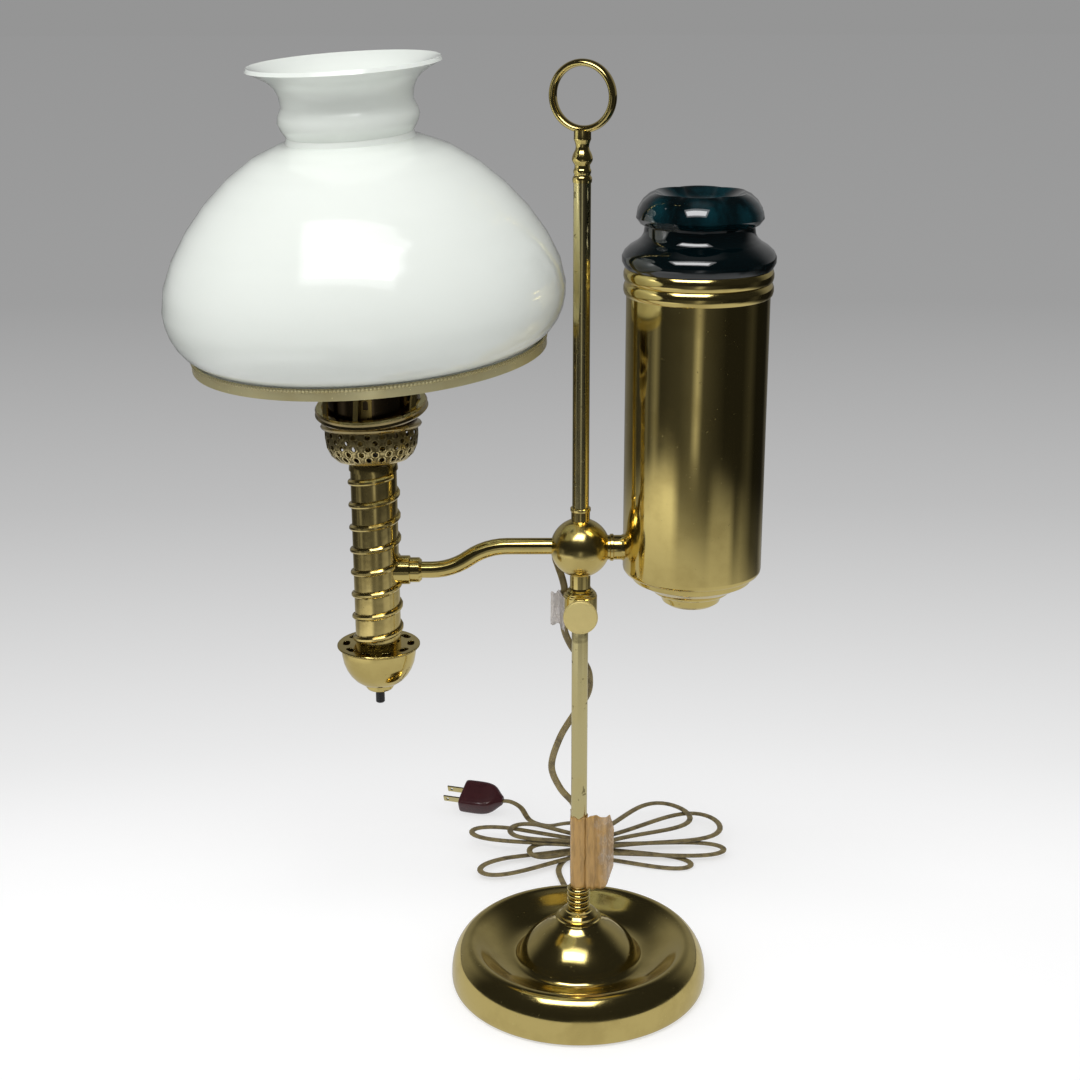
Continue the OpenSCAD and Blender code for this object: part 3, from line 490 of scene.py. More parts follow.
RELIEF_DIR = Vector((-0.62, 0.62, -0.48)).normalized()
RELIEF = Vector((0, 0, HUB_Z)) + 24.9 * RELIEF_DIR
TAPE_HOLD = Vector((-11.8, 11.8, HUB_Z - 44))
POLE_HOLD = Vector((-3, 10.9, 140))
SPLIT = Vector((0, 0, 0.3))
FLOOR_Z = 1.4
WAIST = Vector((14, 216))
WAIST_HALF = 9.0
LAYER = 3.4
BIGHTS_LEFT = [(-84, 172, 17), (-40, 202, 15), (-94, 238, 15), (-58, 236, 17)]
BIGHTS_RIGHT = [(106, 190, 13), (138, 214, 15), (136, 264, 35), (104, 284, 36)]
PLUG = Vector((-66, 298, 13.4))
PLUG_DIR = Vector((41, -13, 0)).normalized()
PLUG_TILT = math.radians(-22.0)


def spline(points, i, t):
    """A point of the smooth curve between points i and i + 1."""
    a, b = points[max(i - 1, 0)], points[i]
    c, d = points[i + 1], points[min(i + 2, len(points) - 1)]
    return 0.5 * (
        2 * b
        + (c - a) * t
        + (2 * a - 5 * b + 4 * c - d) * t * t
        + (3 * b - a - 3 * c + d) * t * t * t
    )


def smooth_route(points, steps):
    """The smooth curve through the points, with so many steps between each two."""
    points = [Vector(p) for p in points]
    route = [spline(points, i, s / steps) for i in range(len(points) - 1) for s in range(steps)]
    return route + [points[-1]]


def heading(points, i):
    """The direction of a route at point i."""
    return (points[min(i + 1, len(points) - 1)] - points[max(i - 1, 0)]).normalized()


def bight(end, angle):
    """A point of one looped end: the angle is -pi/2 at the back strand and pi/2 at the front."""
    away = Vector(end[:2]) - WAIST
    reach, toward = away.length, away.normalized()
    wide = WAIST_HALF + (end[2] * 2 - WAIST_HALF) * math.cos(angle) ** 2 * 0.9
    across = Vector((toward.y, -toward.x)) * wide * math.sin(angle) * math.copysign(1, toward.x)
    return WAIST + toward * reach * math.cos(angle) + across


def hank_point(u):
    """A point of the hank after u loops: right over the waist, then left, and a layer up."""
    loop = min(int(u), len(BIGHTS_LEFT) - 1)
    turn = (u - loop) * 360.0
    if turn < 180.0:
        flat = bight(BIGHTS_RIGHT[loop], math.radians(90.0 - turn))
    else:
        flat = bight(BIGHTS_LEFT[loop], math.radians(turn - 270.0))
    climb = min(1.0, max(0.0, (turn - 180.0) / 45.0))
    return Vector((flat.x, flat.y, FLOOR_Z + LAYER * (loop + climb)))


def hank_route(steps):
    return [hank_point(i / steps) for i in range(len(BIGHTS_LEFT) * steps + 1)]


def cord_routes():
    """Points of the cord's other parts, in order from the ball to the plug."""
    hank = hank_route(24)
    first, last = heading(hank, 0), heading(hank, len(hank) - 1)
    up = Vector((0, 0, 1))
    return {
        "neck": [RELIEF, RELIEF + 2.5 * RELIEF_DIR, RELIEF + 5 * RELIEF_DIR,
                 (-16.8, 17.2, HUB_Z - 20), (-13.8, 14, HUB_Z - 28), TAPE_HOLD + 8 * up,
                 TAPE_HOLD + SPLIT],
        "run": [TAPE_HOLD, TAPE_HOLD - 12 * up, TAPE_HOLD - 26 * up, (-6, 13.4, HUB_Z - 85),
                (5, 12, HUB_Z - 100), (8, 12, 256), (6, 12.5, 243), (-4, 14, 226), (-15, 14, 206),
                (-21.5, 14, 182), (-15, 12.5, 164), (-5, 11.2, 152), POLE_HOLD + 6 * up, POLE_HOLD],
        "tail": [POLE_HOLD - SPLIT, POLE_HOLD - 10 * up, (-3, 10.9, 104), (-3, 10.9, 90),
                 (-3, 13, 76), (-2, 26, 58), (-1, 44, 47), (0, 68, 41.6), (0, 88, 39.9),
                 (0, 100, 36.8), (0, 110, 24), (-1, 120, 7), (-5, 138, FLOOR_Z),
                 (-11, 160, FLOOR_Z), (-14, 182, FLOOR_Z), (-8, 200, FLOOR_Z),
                 hank[0] - 8 * first, hank[0]],
        "lead": [hank[-1], hank[-1] + 7 * last, (31, 219, 16), (29, 236, 16), (15, 249, 15),
                 (-6, 257, 10), (-24, 264, 4), (-40, 275, 4), (-49, 290, 10), PLUG + 8 * PLUG_DIR,
                 PLUG],
    }


def length_of(route):
    return sum((b - a).length for a, b in zip(route, route[1:]))


def flat_cord(name, route, settings, lie_from, lie_to):
    """Two-wire cord along a route: lie is 0 where its width runs along X, 1 flat on the floor."""
    sides, rings, last = 18, [], len(route) - 1
    for i, centre in enumerate(route):
        lie = lie_from + (lie_to - lie_from) * i / last
        along = heading(route, i)
        wide = along.cross(Vector((0, 1 - lie, lie))).normalized()
        thick = wide.cross(along)
        ring = []
        for k in range(sides):
            c, s = math.cos(2 * math.pi * k / sides), math.sin(2 * math.pi * k / sides)
            x = settings.cord_width / 2 * math.copysign(abs(c) ** 0.85, c)
            groove = 1 - 0.3 * math.exp(-((c / 0.3) ** 2))
            y = settings.cord_thickness / 2 * math.copysign(abs(s) ** 0.8, s) * groove
            ring.append(centre * MM + wide * x + thick * y)
        rings.append(ring)
    return loft(name, rings)


# Settings


COLOUR = {"subtype": "COLOR", "size": 3, "min": 0.0, "max": 1.0}
LENGTH = {"subtype": "DISTANCE", "unit": "LENGTH"}


class LAMP_PG_finishes(bpy.types.PropertyGroup):
    """Colours of the lamp's finishes."""

    brass_colour: bpy.props.FloatVectorProperty(
        name="Brass", description="Colour of the polished brass",
        default=(0.80, 0.64, 0.235), **COLOUR)
    brass_shade: bpy.props.FloatVectorProperty(
        name="Brass clouds", description="Colour of the brass where it has dulled",
        default=(0.46, 0.34, 0.10), **COLOUR)
    pale_brass: bpy.props.FloatVectorProperty(
        name="Pole brass", description="Colour of the pole, paler than the rest",
        default=(0.76, 0.66, 0.33), **COLOUR)
    glass_colour: bpy.props.FloatVectorProperty(
        name="Shade", description="Colour of the opal glass",
        default=(0.80, 0.84, 0.79), **COLOUR)
    cap_colour: bpy.props.FloatVectorProperty(
        name="Cap", description="Colour of the tank's glass cap where light shows in it",
        default=(0.002, 0.023, 0.03), **COLOUR)
    cord_colour: bpy.props.FloatVectorProperty(
        name="Cord", description="Colour of the cord's cover",
        default=(0.27, 0.21, 0.09), **COLOUR)
    tape_colour: bpy.props.FloatVectorProperty(
        name="Tape", description="Colour of the amber tape on the pole",
        default=(0.52, 0.31, 0.10), **COLOUR)
    plug_colour: bpy.props.FloatVectorProperty(
        name="Plug", description="Colour of the moulded plug",
        default=(0.045, 0.011, 0.014), **COLOUR)


class LAMP_PG_sizes(bpy.types.PropertyGroup):
    """Sizes of the pieces that are made here."""

    cord_width: bpy.props.FloatProperty(
        name="Cord width", description="Width of the flat cord",
        default=0.0054, min=0.004, max=0.007, **LENGTH)
    cord_thickness: bpy.props.FloatProperty(
        name="Cord thickness", description="Thickness of the flat cord",
        default=0.0028, min=0.002, max=0.004, **LENGTH)
    tape_thickness: bpy.props.FloatProperty(
        name="Tape thickness", description="Thickness of the built-up tape",
        default=0.0004, min=0.0001, max=0.001, **LENGTH)


class LAMP_PG_studio(bpy.types.PropertyGroup):
    """Light and floor."""

    key_power: bpy.props.FloatProperty(
        name="Key power", description="Power of the soft box over the lamp", unit="POWER",
        default=19.5, min=0.0, max=500.0)
    side_power: bpy.props.FloatProperty(
        name="Side power", description="Power of each side light", unit="POWER",
        default=5.0, min=0.0, max=500.0)
    room_light: bpy.props.FloatProperty(
        name="Room light", description="Strength of the even light from all round",
        default=0.5, min=0.0, max=2.0)


# Operators


class LAMP_OT_camera(bpy.types.Operator):
    """Place the camera at the photograph's viewpoint"""

    bl_idname = "lamp.camera"
    bl_label = "Camera"

    # Metres, millimetres and degrees
    PLACE = (-0.0303, -1.3388, 0.8099)
    LENS, SENSOR, SHIFT_UP = 62.627, 36.0, 0.0086
    LOOKS_DOWN, ROLL = 18.324, -0.109

    def execute(self, context):
        data = bpy.data.cameras.new("view_camera")
        data.lens, data.sensor_width, data.shift_y = self.LENS, self.SENSOR, self.SHIFT_UP
        data.clip_start, data.clip_end = 0.05, 60.0
        camera = bpy.data.objects.new("view_camera", data)
        tilt = Matrix.Rotation(math.radians(90.0 - self.LOOKS_DOWN), 4, "X")
        roll = Matrix.Rotation(math.radians(self.ROLL), 4, "Z")
        camera.matrix_world = Matrix.Translation(self.PLACE) @ tilt @ roll
        context.scene.collection.objects.link(camera)
        context.scene.camera = camera
        return {"FINISHED"}


class LAMP_OT_cord(bpy.types.Operator):
    """Lay the flat cord from the ball to the plug, with its hank behind the base"""

    bl_idname = "lamp.cord"
    bl_label = "Cord"

    def execute(self, context):
        settings = context.scene.lamp_sizes
        finish = cord_cover(context.scene.lamp_finishes)
        routes = cord_routes()
        plans = (
            ("cord_neck_flex", "cord_neck", routes["neck"], 0, 0, None),
            ("cord_run_flex", "cord_run", routes["run"], 0, 0, None),
            ("cord_tail_flex", "cord_tail", routes["tail"], 0, 1, "stand"),
            ("cord_hank_flex", "cord_hank", None, 1, 1, "stand"),
            ("cord_lead_flex", "cord_lead", routes["lead"], 1, 1, "stand"),
        )
        for name, node, points, lie_from, lie_to, body in plans:
            route = hank_route(72) if points is None else smooth_route(points, 8)
            piece = flat_cord(name, route, settings, lie_from, lie_to)
            cover(piece, finish)
            if body:
                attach(piece, body)
            elif node == "cord_neck":
                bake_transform(piece)
            else:
                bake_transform(piece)
            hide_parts(node)
            route[0] * MM
            length_of(route) * MM
            "plug" if node == "cord_lead" else "object"
            "coiled" if node == "cord_hank" else "loose"
            [list(p * MM) for p in route]
            ["plug_shell", "plug_blades"] if node == "cord_lead" else []
        return {"FINISHED"}


class LAMP_OT_plug(bpy.types.Operator):
    """Mould the plug's body round its blades"""

    bl_idname = "lamp.plug"
    bl_label = "Plug"

    SIDES = 40
    # Distance from the cord, half width, half thickness, and roundness: 1 is an ellipse
    STATIONS = (
        (0, 4.6, 3.8, 1), (2, 5.4, 4.6, 1), (5, 8.6, 6.6, 0.8), (8.5, 12.6, 7.8, 0.62),
        (13, 15.2, 8.3, 0.5), (19, 16.2, 8.5, 0.45), (25, 16.4, 8.4, 0.42), (31, 16.3, 8.2, 0.4),
        (36, 16.2, 8.1, 0.38), (39.6, 16, 8, 0.38), (40.7, 15.2, 7.4, 0.38), (41, 14, 6.4, 0.38))

    def execute(self, context):
        finishes = context.scene.lamp_finishes
        toward = -PLUG_DIR
        level, up = Vector((-toward.y, toward.x, 0)), Vector((0, 0, 1))
        across = level * math.cos(PLUG_TILT) + up * math.sin(PLUG_TILT)
        above = up * math.cos(PLUG_TILT) - level * math.sin(PLUG_TILT)
        rings = []
        for distance, half, thick, roundness in self.STATIONS:
            centre = PLUG + toward * distance
            ring = []
            for k in range(self.SIDES):
                turn = 2 * math.pi * k / self.SIDES
                c, s = math.cos(turn), math.sin(turn)
                x = half * math.copysign(abs(c) ** roundness, c)
                y = thick * math.copysign(abs(s) ** roundness, s)
                ring.append((centre + across * x + above * y) * MM)
            rings.append(ring)
        shell = loft("plug_shell", rings)
        rounding = shell.modifiers.new("Round", "SUBSURF")
        rounding.levels = rounding.render_levels = 1
        made, s = material("plug_moulding")
        place = s.place()
        mottle = s.noise(120.0, 4.0, place)
        colour = s.mix(mottle * 0.5, finishes.plug_colour, (0.10, 0.03, 0.03))
        s.surface(
            Base_Color=colour,
            Roughness=0.18 + mottle * 0.12,
            Coat_Weight=0.5, Coat_Roughness=0.1,
            Normal=s.bump(s.noise(500.0, 2.0, place), 4e-5),
        )
        cover(shell, made)
        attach(shell, "stand")
        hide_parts("plug_body")
        return {"FINISHED"}


class LAMP_OT_tapes(bpy.types.Operator):
    """Wrap the tape that holds the cord to the pole and to the clamp"""

    bl_idname = "lamp.tapes"
    bl_label = "Tapes"

    # Heights of the pole's tape, and outlines behind its cord and round the clamp's collar
    POLE_LOW, POLE_HIGH = 84.5, 146.0
    BEHIND = ((-6.3, 11.6), (-4.6, 13.2), (-2, 13.4), (0.2, 12.6), (2.4, 9.4), (4.6, 6),
              (6.4, 2.2), (6.7, -0.6), (6.4, -3.2), (5.4, -4.6))
    COLLAR = ((-11.8, -5), (-12.8, -2.4), (-13.15, 0.3), (-13.5, 3), (-14.1, 7), (-14.9, 10.8),
              (-15, 12.2), (-14.2, 13.5), (-12, 14.1), (-8, 13.9), (-4.2, 13.3), (-2.3, 13.1))
    ROWS, CREASE = 26, 0.35

    def wrap(self, name, outline, low, high, thickness, ragged):
        """A creased film along an outline in plan. ragged(u, top) raises its ends at u, from 0
        to 1 along the outline."""
        points, count = [], len(outline)
        for j in range(self.ROWS + 1):
            for i, (x, y) in enumerate(outline):
                top = high + ragged(i / (count - 1), True)
                bottom = low + ragged(i / (count - 1), False)
                z = bottom + (top - bottom) * (j / self.ROWS)
                here = Vector((x, y, z))
                push = self.CREASE * (noise.noise(here * 0.22) + 0.5 * noise.noise(here * 0.6))
                points.append(Vector((x + push, y - abs(push) * 0.6, z)) * MM)
        obj = make_mesh(name, points, sheet_faces(self.ROWS + 1, count))
        thick = obj.modifiers.new("Film", "SOLIDIFY")
        thick.thickness, thick.offset = thickness, 0.0
        return obj

    def execute(self, context):
        finishes, sizes = context.scene.lamp_finishes, context.scene.lamp_sizes
        film = sizes.tape_thickness
        # Round the pole and the cord behind it, and out to the right as a free flag
        turns = [math.radians(-40.0 - 6.2 * k) for k in range(27)]
        outline = [(6.6 * math.cos(a), 6.6 * math.sin(a)) for a in turns]
        outline += [(-6.4, 3.0 + 2.3 * k) for k in range(1, 4)]
        outline += self.BEHIND
        flag = [(5.0 + 22.4 * k / 30, -4.9 - 0.9 * math.sin(k * 0.42) - 0.5 * math.sin(k * 0.93))
                for k in range(31)]

        def pole_ends(u, top):
            return 0.9 * math.sin(u * 21.0) if top else 0.5 * math.sin(u * 17.0)

        def flag_ends(u, top):
            if top:
                return 1.2 * math.sin(u * 7.0) + 3.0 * u - 12.0 * max(0.0, u - 0.86) / 0.14
            return 0.6 * math.sin(u * 15.0) + 21.0 * (max(0.0, u - 0.55) / 0.45) ** 2

        low, high = self.POLE_LOW, self.POLE_HIGH
        wrap = self.wrap("pole_tape_wrap", outline, low, high, film, pole_ends)
        free = self.wrap("pole_tape_flag", flag, low - 1.0, high, film, flag_ends)
        amber = tape_film("amber_tape", finishes.tape_colour, (0.52, 0.45, 0.38), 12.0, 26.0)
        for piece in (wrap, free):
            cover(piece, amber)
            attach(piece, "stand")
        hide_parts("pole_tape")

        # Round the back and left of the clamp's collar, and out to the left as a free flap
        dense = smooth_route([(x, y, 0) for x, y in self.COLLAR], 3)
        loose = [(-14.9 - 7.2 * k / 14, 11.6 + 0.5 * math.sin(k * 0.5)) for k in range(15)]

        def collar_ends(u, top):
            return (0.5 if top else 0.9) * math.sin(u * (11.0 if top else 19.0))

        def loose_ends(u, top):
            return 1.1 * math.sin(u * 9.0) - 1.5 * u if top else 0.8 * math.sin(u * 6.0)

        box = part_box("clamp_tape")
        low, high = box[0].z / MM + 1.0, box[1].z / MM - 0.6
        collar = [(p.x, p.y) for p in dense]
        patch = self.wrap("clamp_tape_wrap", collar, low, high, film, collar_ends)
        flap = self.wrap("clamp_tape_flap", loose, low, high, film * 0.6, loose_ends)
        dull = tape_film("dull_tape", (0.62, 0.56, 0.50), (0.72, 0.68, 0.66), -8.0, -14.0)
        for piece in (patch, flap):
            cover(piece, dull)
            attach(piece, "clamp")
        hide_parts("clamp_tape")
        return {"FINISHED"}


class LAMP_OT_drum(bpy.types.Operator):
    """Stand the burner's drum, its brass painted dark as shade, and its slotted strap inside the
    shade holder's ring
    """

    bl_idname = "lamp.drum"
    bl_label = "Drum"

    RADIUS, WALL, TOP = 32.2, 0.8, 500.0
    CENTRE = (-ARM_REACH - 0.4, 1.6)
    STRAP_TURN, STRAP_HALF, STRAP_OUT, STRAP_WALL = math.radians(-2.0), 4.6, 0.9, 0.7
    SLOT_HALF, SLOT_FOOT, SLOT_HEAD, SLOT_ROUND = 1.7, -3.4, 2.6, 0.9
    SLOTS = (CROWN_Z + 9.0, CROWN_Z + 20.5)

    def slot(self, across, z):
        """Whether a point of the strap lies in one of its two round-topped slots."""
        head = self.SLOT_HEAD + self.SLOT_ROUND * (1 - (across / self.SLOT_HALF) ** 2)
        inside = any(self.SLOT_FOOT < z - middle < head for middle in self.SLOTS)
        return abs(across) < self.SLOT_HALF and inside

    def sheet(self, name, radius, wall, spread, heights, low_edge, cut):
        """A sheet about the drum's axis, over a grid of angles (spread) and heights. It stands on
        low_edge(x, y) and is open where cut(across, z) holds."""
        points = []
        for z in heights:
            for turn in spread:
                a = turn - math.pi / 2
                x, y = (c + radius * f(a) for c, f in zip(self.CENTRE, (math.cos, math.sin)))
                points.append(Vector((x, y, max(z, low_edge(x, y)))) * MM)

        def keep(j, i):
            across = (spread[i] + spread[i + 1]) / 2 * radius
            return not cut(across, (heights[j] + heights[j + 1]) / 2)

        obj = make_mesh(name, points, sheet_faces(len(heights), len(spread), keep))
        weld = obj.modifiers.new("Seam", "WELD")
        weld.merge_threshold = 1e-5
        thick = obj.modifiers.new("Sheet", "SOLIDIFY")
        thick.thickness, thick.offset = wall * MM, 1.0
        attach(obj, "hub")
        return obj

    def execute(self, context):
        def deck(x, y):
            slope = [math.tan(math.radians(a)) for a in BASKET_LEAN]
            return BASKET_TOP + 2.4 + y * slope[0] - (x + ARM_REACH) * slope[1]

        turns = [2 * math.pi * k / 96 for k in range(97)]
        heights = [BASKET_TOP - 2.0 + 2.0 * k for k in range(21)] + [self.TOP]
        drum = self.sheet("burner_drum", self.RADIUS, self.WALL, turns, heights, deck,
                          lambda across, z: False)
        half, middle = self.STRAP_HALF / self.RADIUS, self.STRAP_TURN * self.RADIUS
        spread = [self.STRAP_TURN - half + 2 * half * k / 36 for k in range(37)]
        heights = [CROWN_Z - 3.0 + 0.25 * k for k in range(103)]
        strap = self.sheet("drum_strap", self.RADIUS + self.STRAP_OUT, self.STRAP_WALL,
                           spread, heights, lambda x, y: 0.0,
                           lambda across, z: self.slot(across - middle, z))
        # The drum's brass is nearly black: painted shade, as it stands in the shadow under the
        # shade holder.
        dark, darker = (0.16, 0.115, 0.06), (0.07, 0.05, 0.03)
        shade = tuple(context.scene.lamp_finishes.brass_shade)
        cover(drum, polished_brass("drum_brass_painted_shade", dark, darker, 0.12, 0.5, 1e-4))
        cover(strap, polished_brass("strap_brass", shade, WORN, 0.2, 0.5, 5e-5))
        return {"FINISHED"}


class LAMP_OT_base(bpy.types.Operator):
    """Spin the base's shell: a rolled edge, a shallow dish and a bell under the pole"""

    bl_idname = "lamp.base"
    bl_label = "Base"

    SHEET, BORE_GAP, SIDES = 0.9, 0.05, 192
    # Radius and height of the outside, from the edge on the floor to the pole
    PROFILE = (
        (97.5, 0.8), (100, 1.6), (101.4, 3.6), (101.95, 6.5), (102, 9.5), (101.8, 13.5),
        (101.2, 18), (100.2, 22.3), (98.7, 26.2), (96.7, 29.7), (94.3, 32.8), (91.5, 35.2),
        (88.4, 36.5), (85, 36.5), (81, 34.6), (76, 31), (70.5, 27.2), (65, 24.3), (59, 22.4),
        (53, 21.9), (50.2, 22.6), (48.2, 24.6), (46.6, 27.4), (44.8, 30.8), (42.2, 34.8),
        (39, 38.7), (35.2, 42.3), (31, 45.6), (26.9, 48.4), (23.4, 50.8), (20.8, 53),
        (19.2, 54.6), (18.2, BELL_Z))

    def execute(self, context):
        finishes = context.scene.lamp_finishes
        line = smooth_route([(r, 0, z) for r, z in self.PROFILE], 4)
        inner = []
        for i, p in enumerate(line):
            along = heading(line, i)
            inner.append(p - Vector((along.z, 0, -along.x)) * self.SHEET)
        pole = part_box("pole")
        bore = (pole[1].x - pole[0].x) / 2 / MM + self.BORE_GAP
        outline = line + [Vector((bore, 0, BELL_Z)), Vector((bore, 0, BELL_Z - self.SHEET))]
        outline += reversed(inner)
        rings = []
        for k in range(self.SIDES):
            turn = Matrix.Rotation(2 * math.pi * k / self.SIDES, 3, "Z")
            rings.append([turn @ p * MM for p in outline])
        faces = tube_faces(self.SIDES, len(outline), True)
        shell = make_mesh("base_spinning", [p for ring in rings for p in ring], faces)
        gold, shade = tuple(finishes.brass_colour), tuple(finishes.brass_shade)
        cover(shell, polished_brass("base_brass", gold, shade, 0.1, 0.3))
        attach(shell, "stand")
        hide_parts("base_shell")
        return {"FINISHED"}


class LAMP_OT_metals(bpy.types.Operator):
    """Finish the brass and the plain metal parts"""

    bl_idname = "lamp.metals"
    bl_label = "Metals"

    # Name, colour, roughness, metal, grain, depth, vary, and the nodes
    PLAIN = (
        (("screw_brass", (0.80, 0.66, 0.27), 0.5, 0.45, 900.0, 1e-5, 0.12), ("thumb_screw",)),
        (("cast_weight", (0.05, 0.05, 0.05), 0.65, 0.9, 300.0, 2e-4), ("base_weight",)),
        (("steel", (0.5, 0.5, 0.5), 0.3, 1.0), ("pole_nut", "socket_nipple", "switch_spring")),
        (("bare_aluminium", (0.7, 0.7, 0.71), 0.28, 1.0), ("bulb_base",)),
        (("green_felt", (0.02, 0.06, 0.03), 0.9, 0.0, 1600.0, 6e-4, 0.6), ("felt_pad",)),
        (("black_moulding", (0.012, 0.012, 0.012), 0.22, 0.0, 500.0, 2e-5, 0.2),
         ("switch_body", "switch_button", "cord_relief")),
        (("wire_cover", (0.02, 0.018, 0.015), 0.45), ("column_wires", "arm_wire")),
        (("porcelain", (0.72, 0.69, 0.62), 0.15), ("socket_insulator",)),
        (("frosted_bulb", (0.80, 0.79, 0.75), 0.35, 0.0, 900.0, 1e-5, 0.05), ("bulb_glass",)),
    )

    def execute(self, context):
        f = context.scene.lamp_finishes
        gold, shade, pale = tuple(f.brass_colour), tuple(f.brass_shade), tuple(f.pale_brass)
        band = milled(300, -3.2, -0.2, (-ARM_REACH, 0.0, BAND_Z), 0.0004, BAND_LEAN)
        cup_edge = milled(110, 0.1, 1.7, (-ARM_REACH, 0.0, CUP_Z), 0.0005)
        brass = (
            # name, colour, clouds, roughness, age, wave, extra, metal, and the nodes
            (("spun_brass", gold, shade, 0.07, 0.3),
             ("tank_shell", "tank_bottom", "cup_bowl", "arm_tube")),
            (("ball_brass", gold, shade, 0.17, 0.3), ("hub_ball",)),
            (("turned_brass", gold, shade, 0.1, 0.4, 3e-5),
             ("base_flange", "neck_rings", "finial_stem", "finial_ring", "clamp_collar",
              "clamp_washer", "clamp_tail", "hub_sleeve", "arm_ferrule", "cup_nut", "tank_stub",
              "tank_collar", "holder_arms", "socket_strap")),
            (("pole_brass", pale, gold, 0.14, 0.3, 2e-5, tape_marks), ("pole",)),
            (("column_brass", (0.88, 0.70, 0.27), shade, 0.11, 0.5, 8e-5, spiral_crease_shade),
             ("column_tube", "column_rib", "column_cap")),
            (("basket_brass", (0.95, 0.79, 0.39), shade, 0.2, 0.3, 3e-5, pierced),
             ("burner_basket",)),
            (("band_brass", (0.80, 0.72, 0.40), shade, 0.2, 0.3, 3e-5, band, 0.6),
             ("shade_band",)),
            (("ring_brass", (0.5, 0.40, 0.19), WORN, 0.12, 0.6, 4e-5),
             ("crown_ring", "gallery_ring")),
            (("plate_brass", gold, shade, 0.12, 0.45, 3e-5, cup_edge), ("cup_plate",)),
            (("socket_brass", shade, [c * 0.5 for c in shade], 0.3, 0.8, 3e-5),
             ("burner_deck", "deck_prongs", "socket_cap", "socket_shell", "screw_shell")),
            (("blade_brass", pale, gold, 0.22, 0.5, 2e-5), ("plug_blades",)),
        )
        soft = soften()
        for recipe, nodes in brass:
            finish_nodes(nodes, polished_brass(*recipe), soft)
        for recipe, nodes in self.PLAIN:
            finish_nodes(nodes, plain(*recipe), soft)
        return {"FINISHED"}


class LAMP_OT_glass(bpy.types.Operator):
    """Finish the opal shade and the teal cap"""

    bl_idname = "lamp.glass"
    bl_label = "Glass"

    def execute(self, context):
        finishes = context.scene.lamp_finishes
        soft = soften(38.0)
        finish_nodes(["shade_glass"], glass_white(finishes), soft)
        finish_nodes(["tank_cap"], glass_teal(finishes), soft)
        return {"FINISHED"}


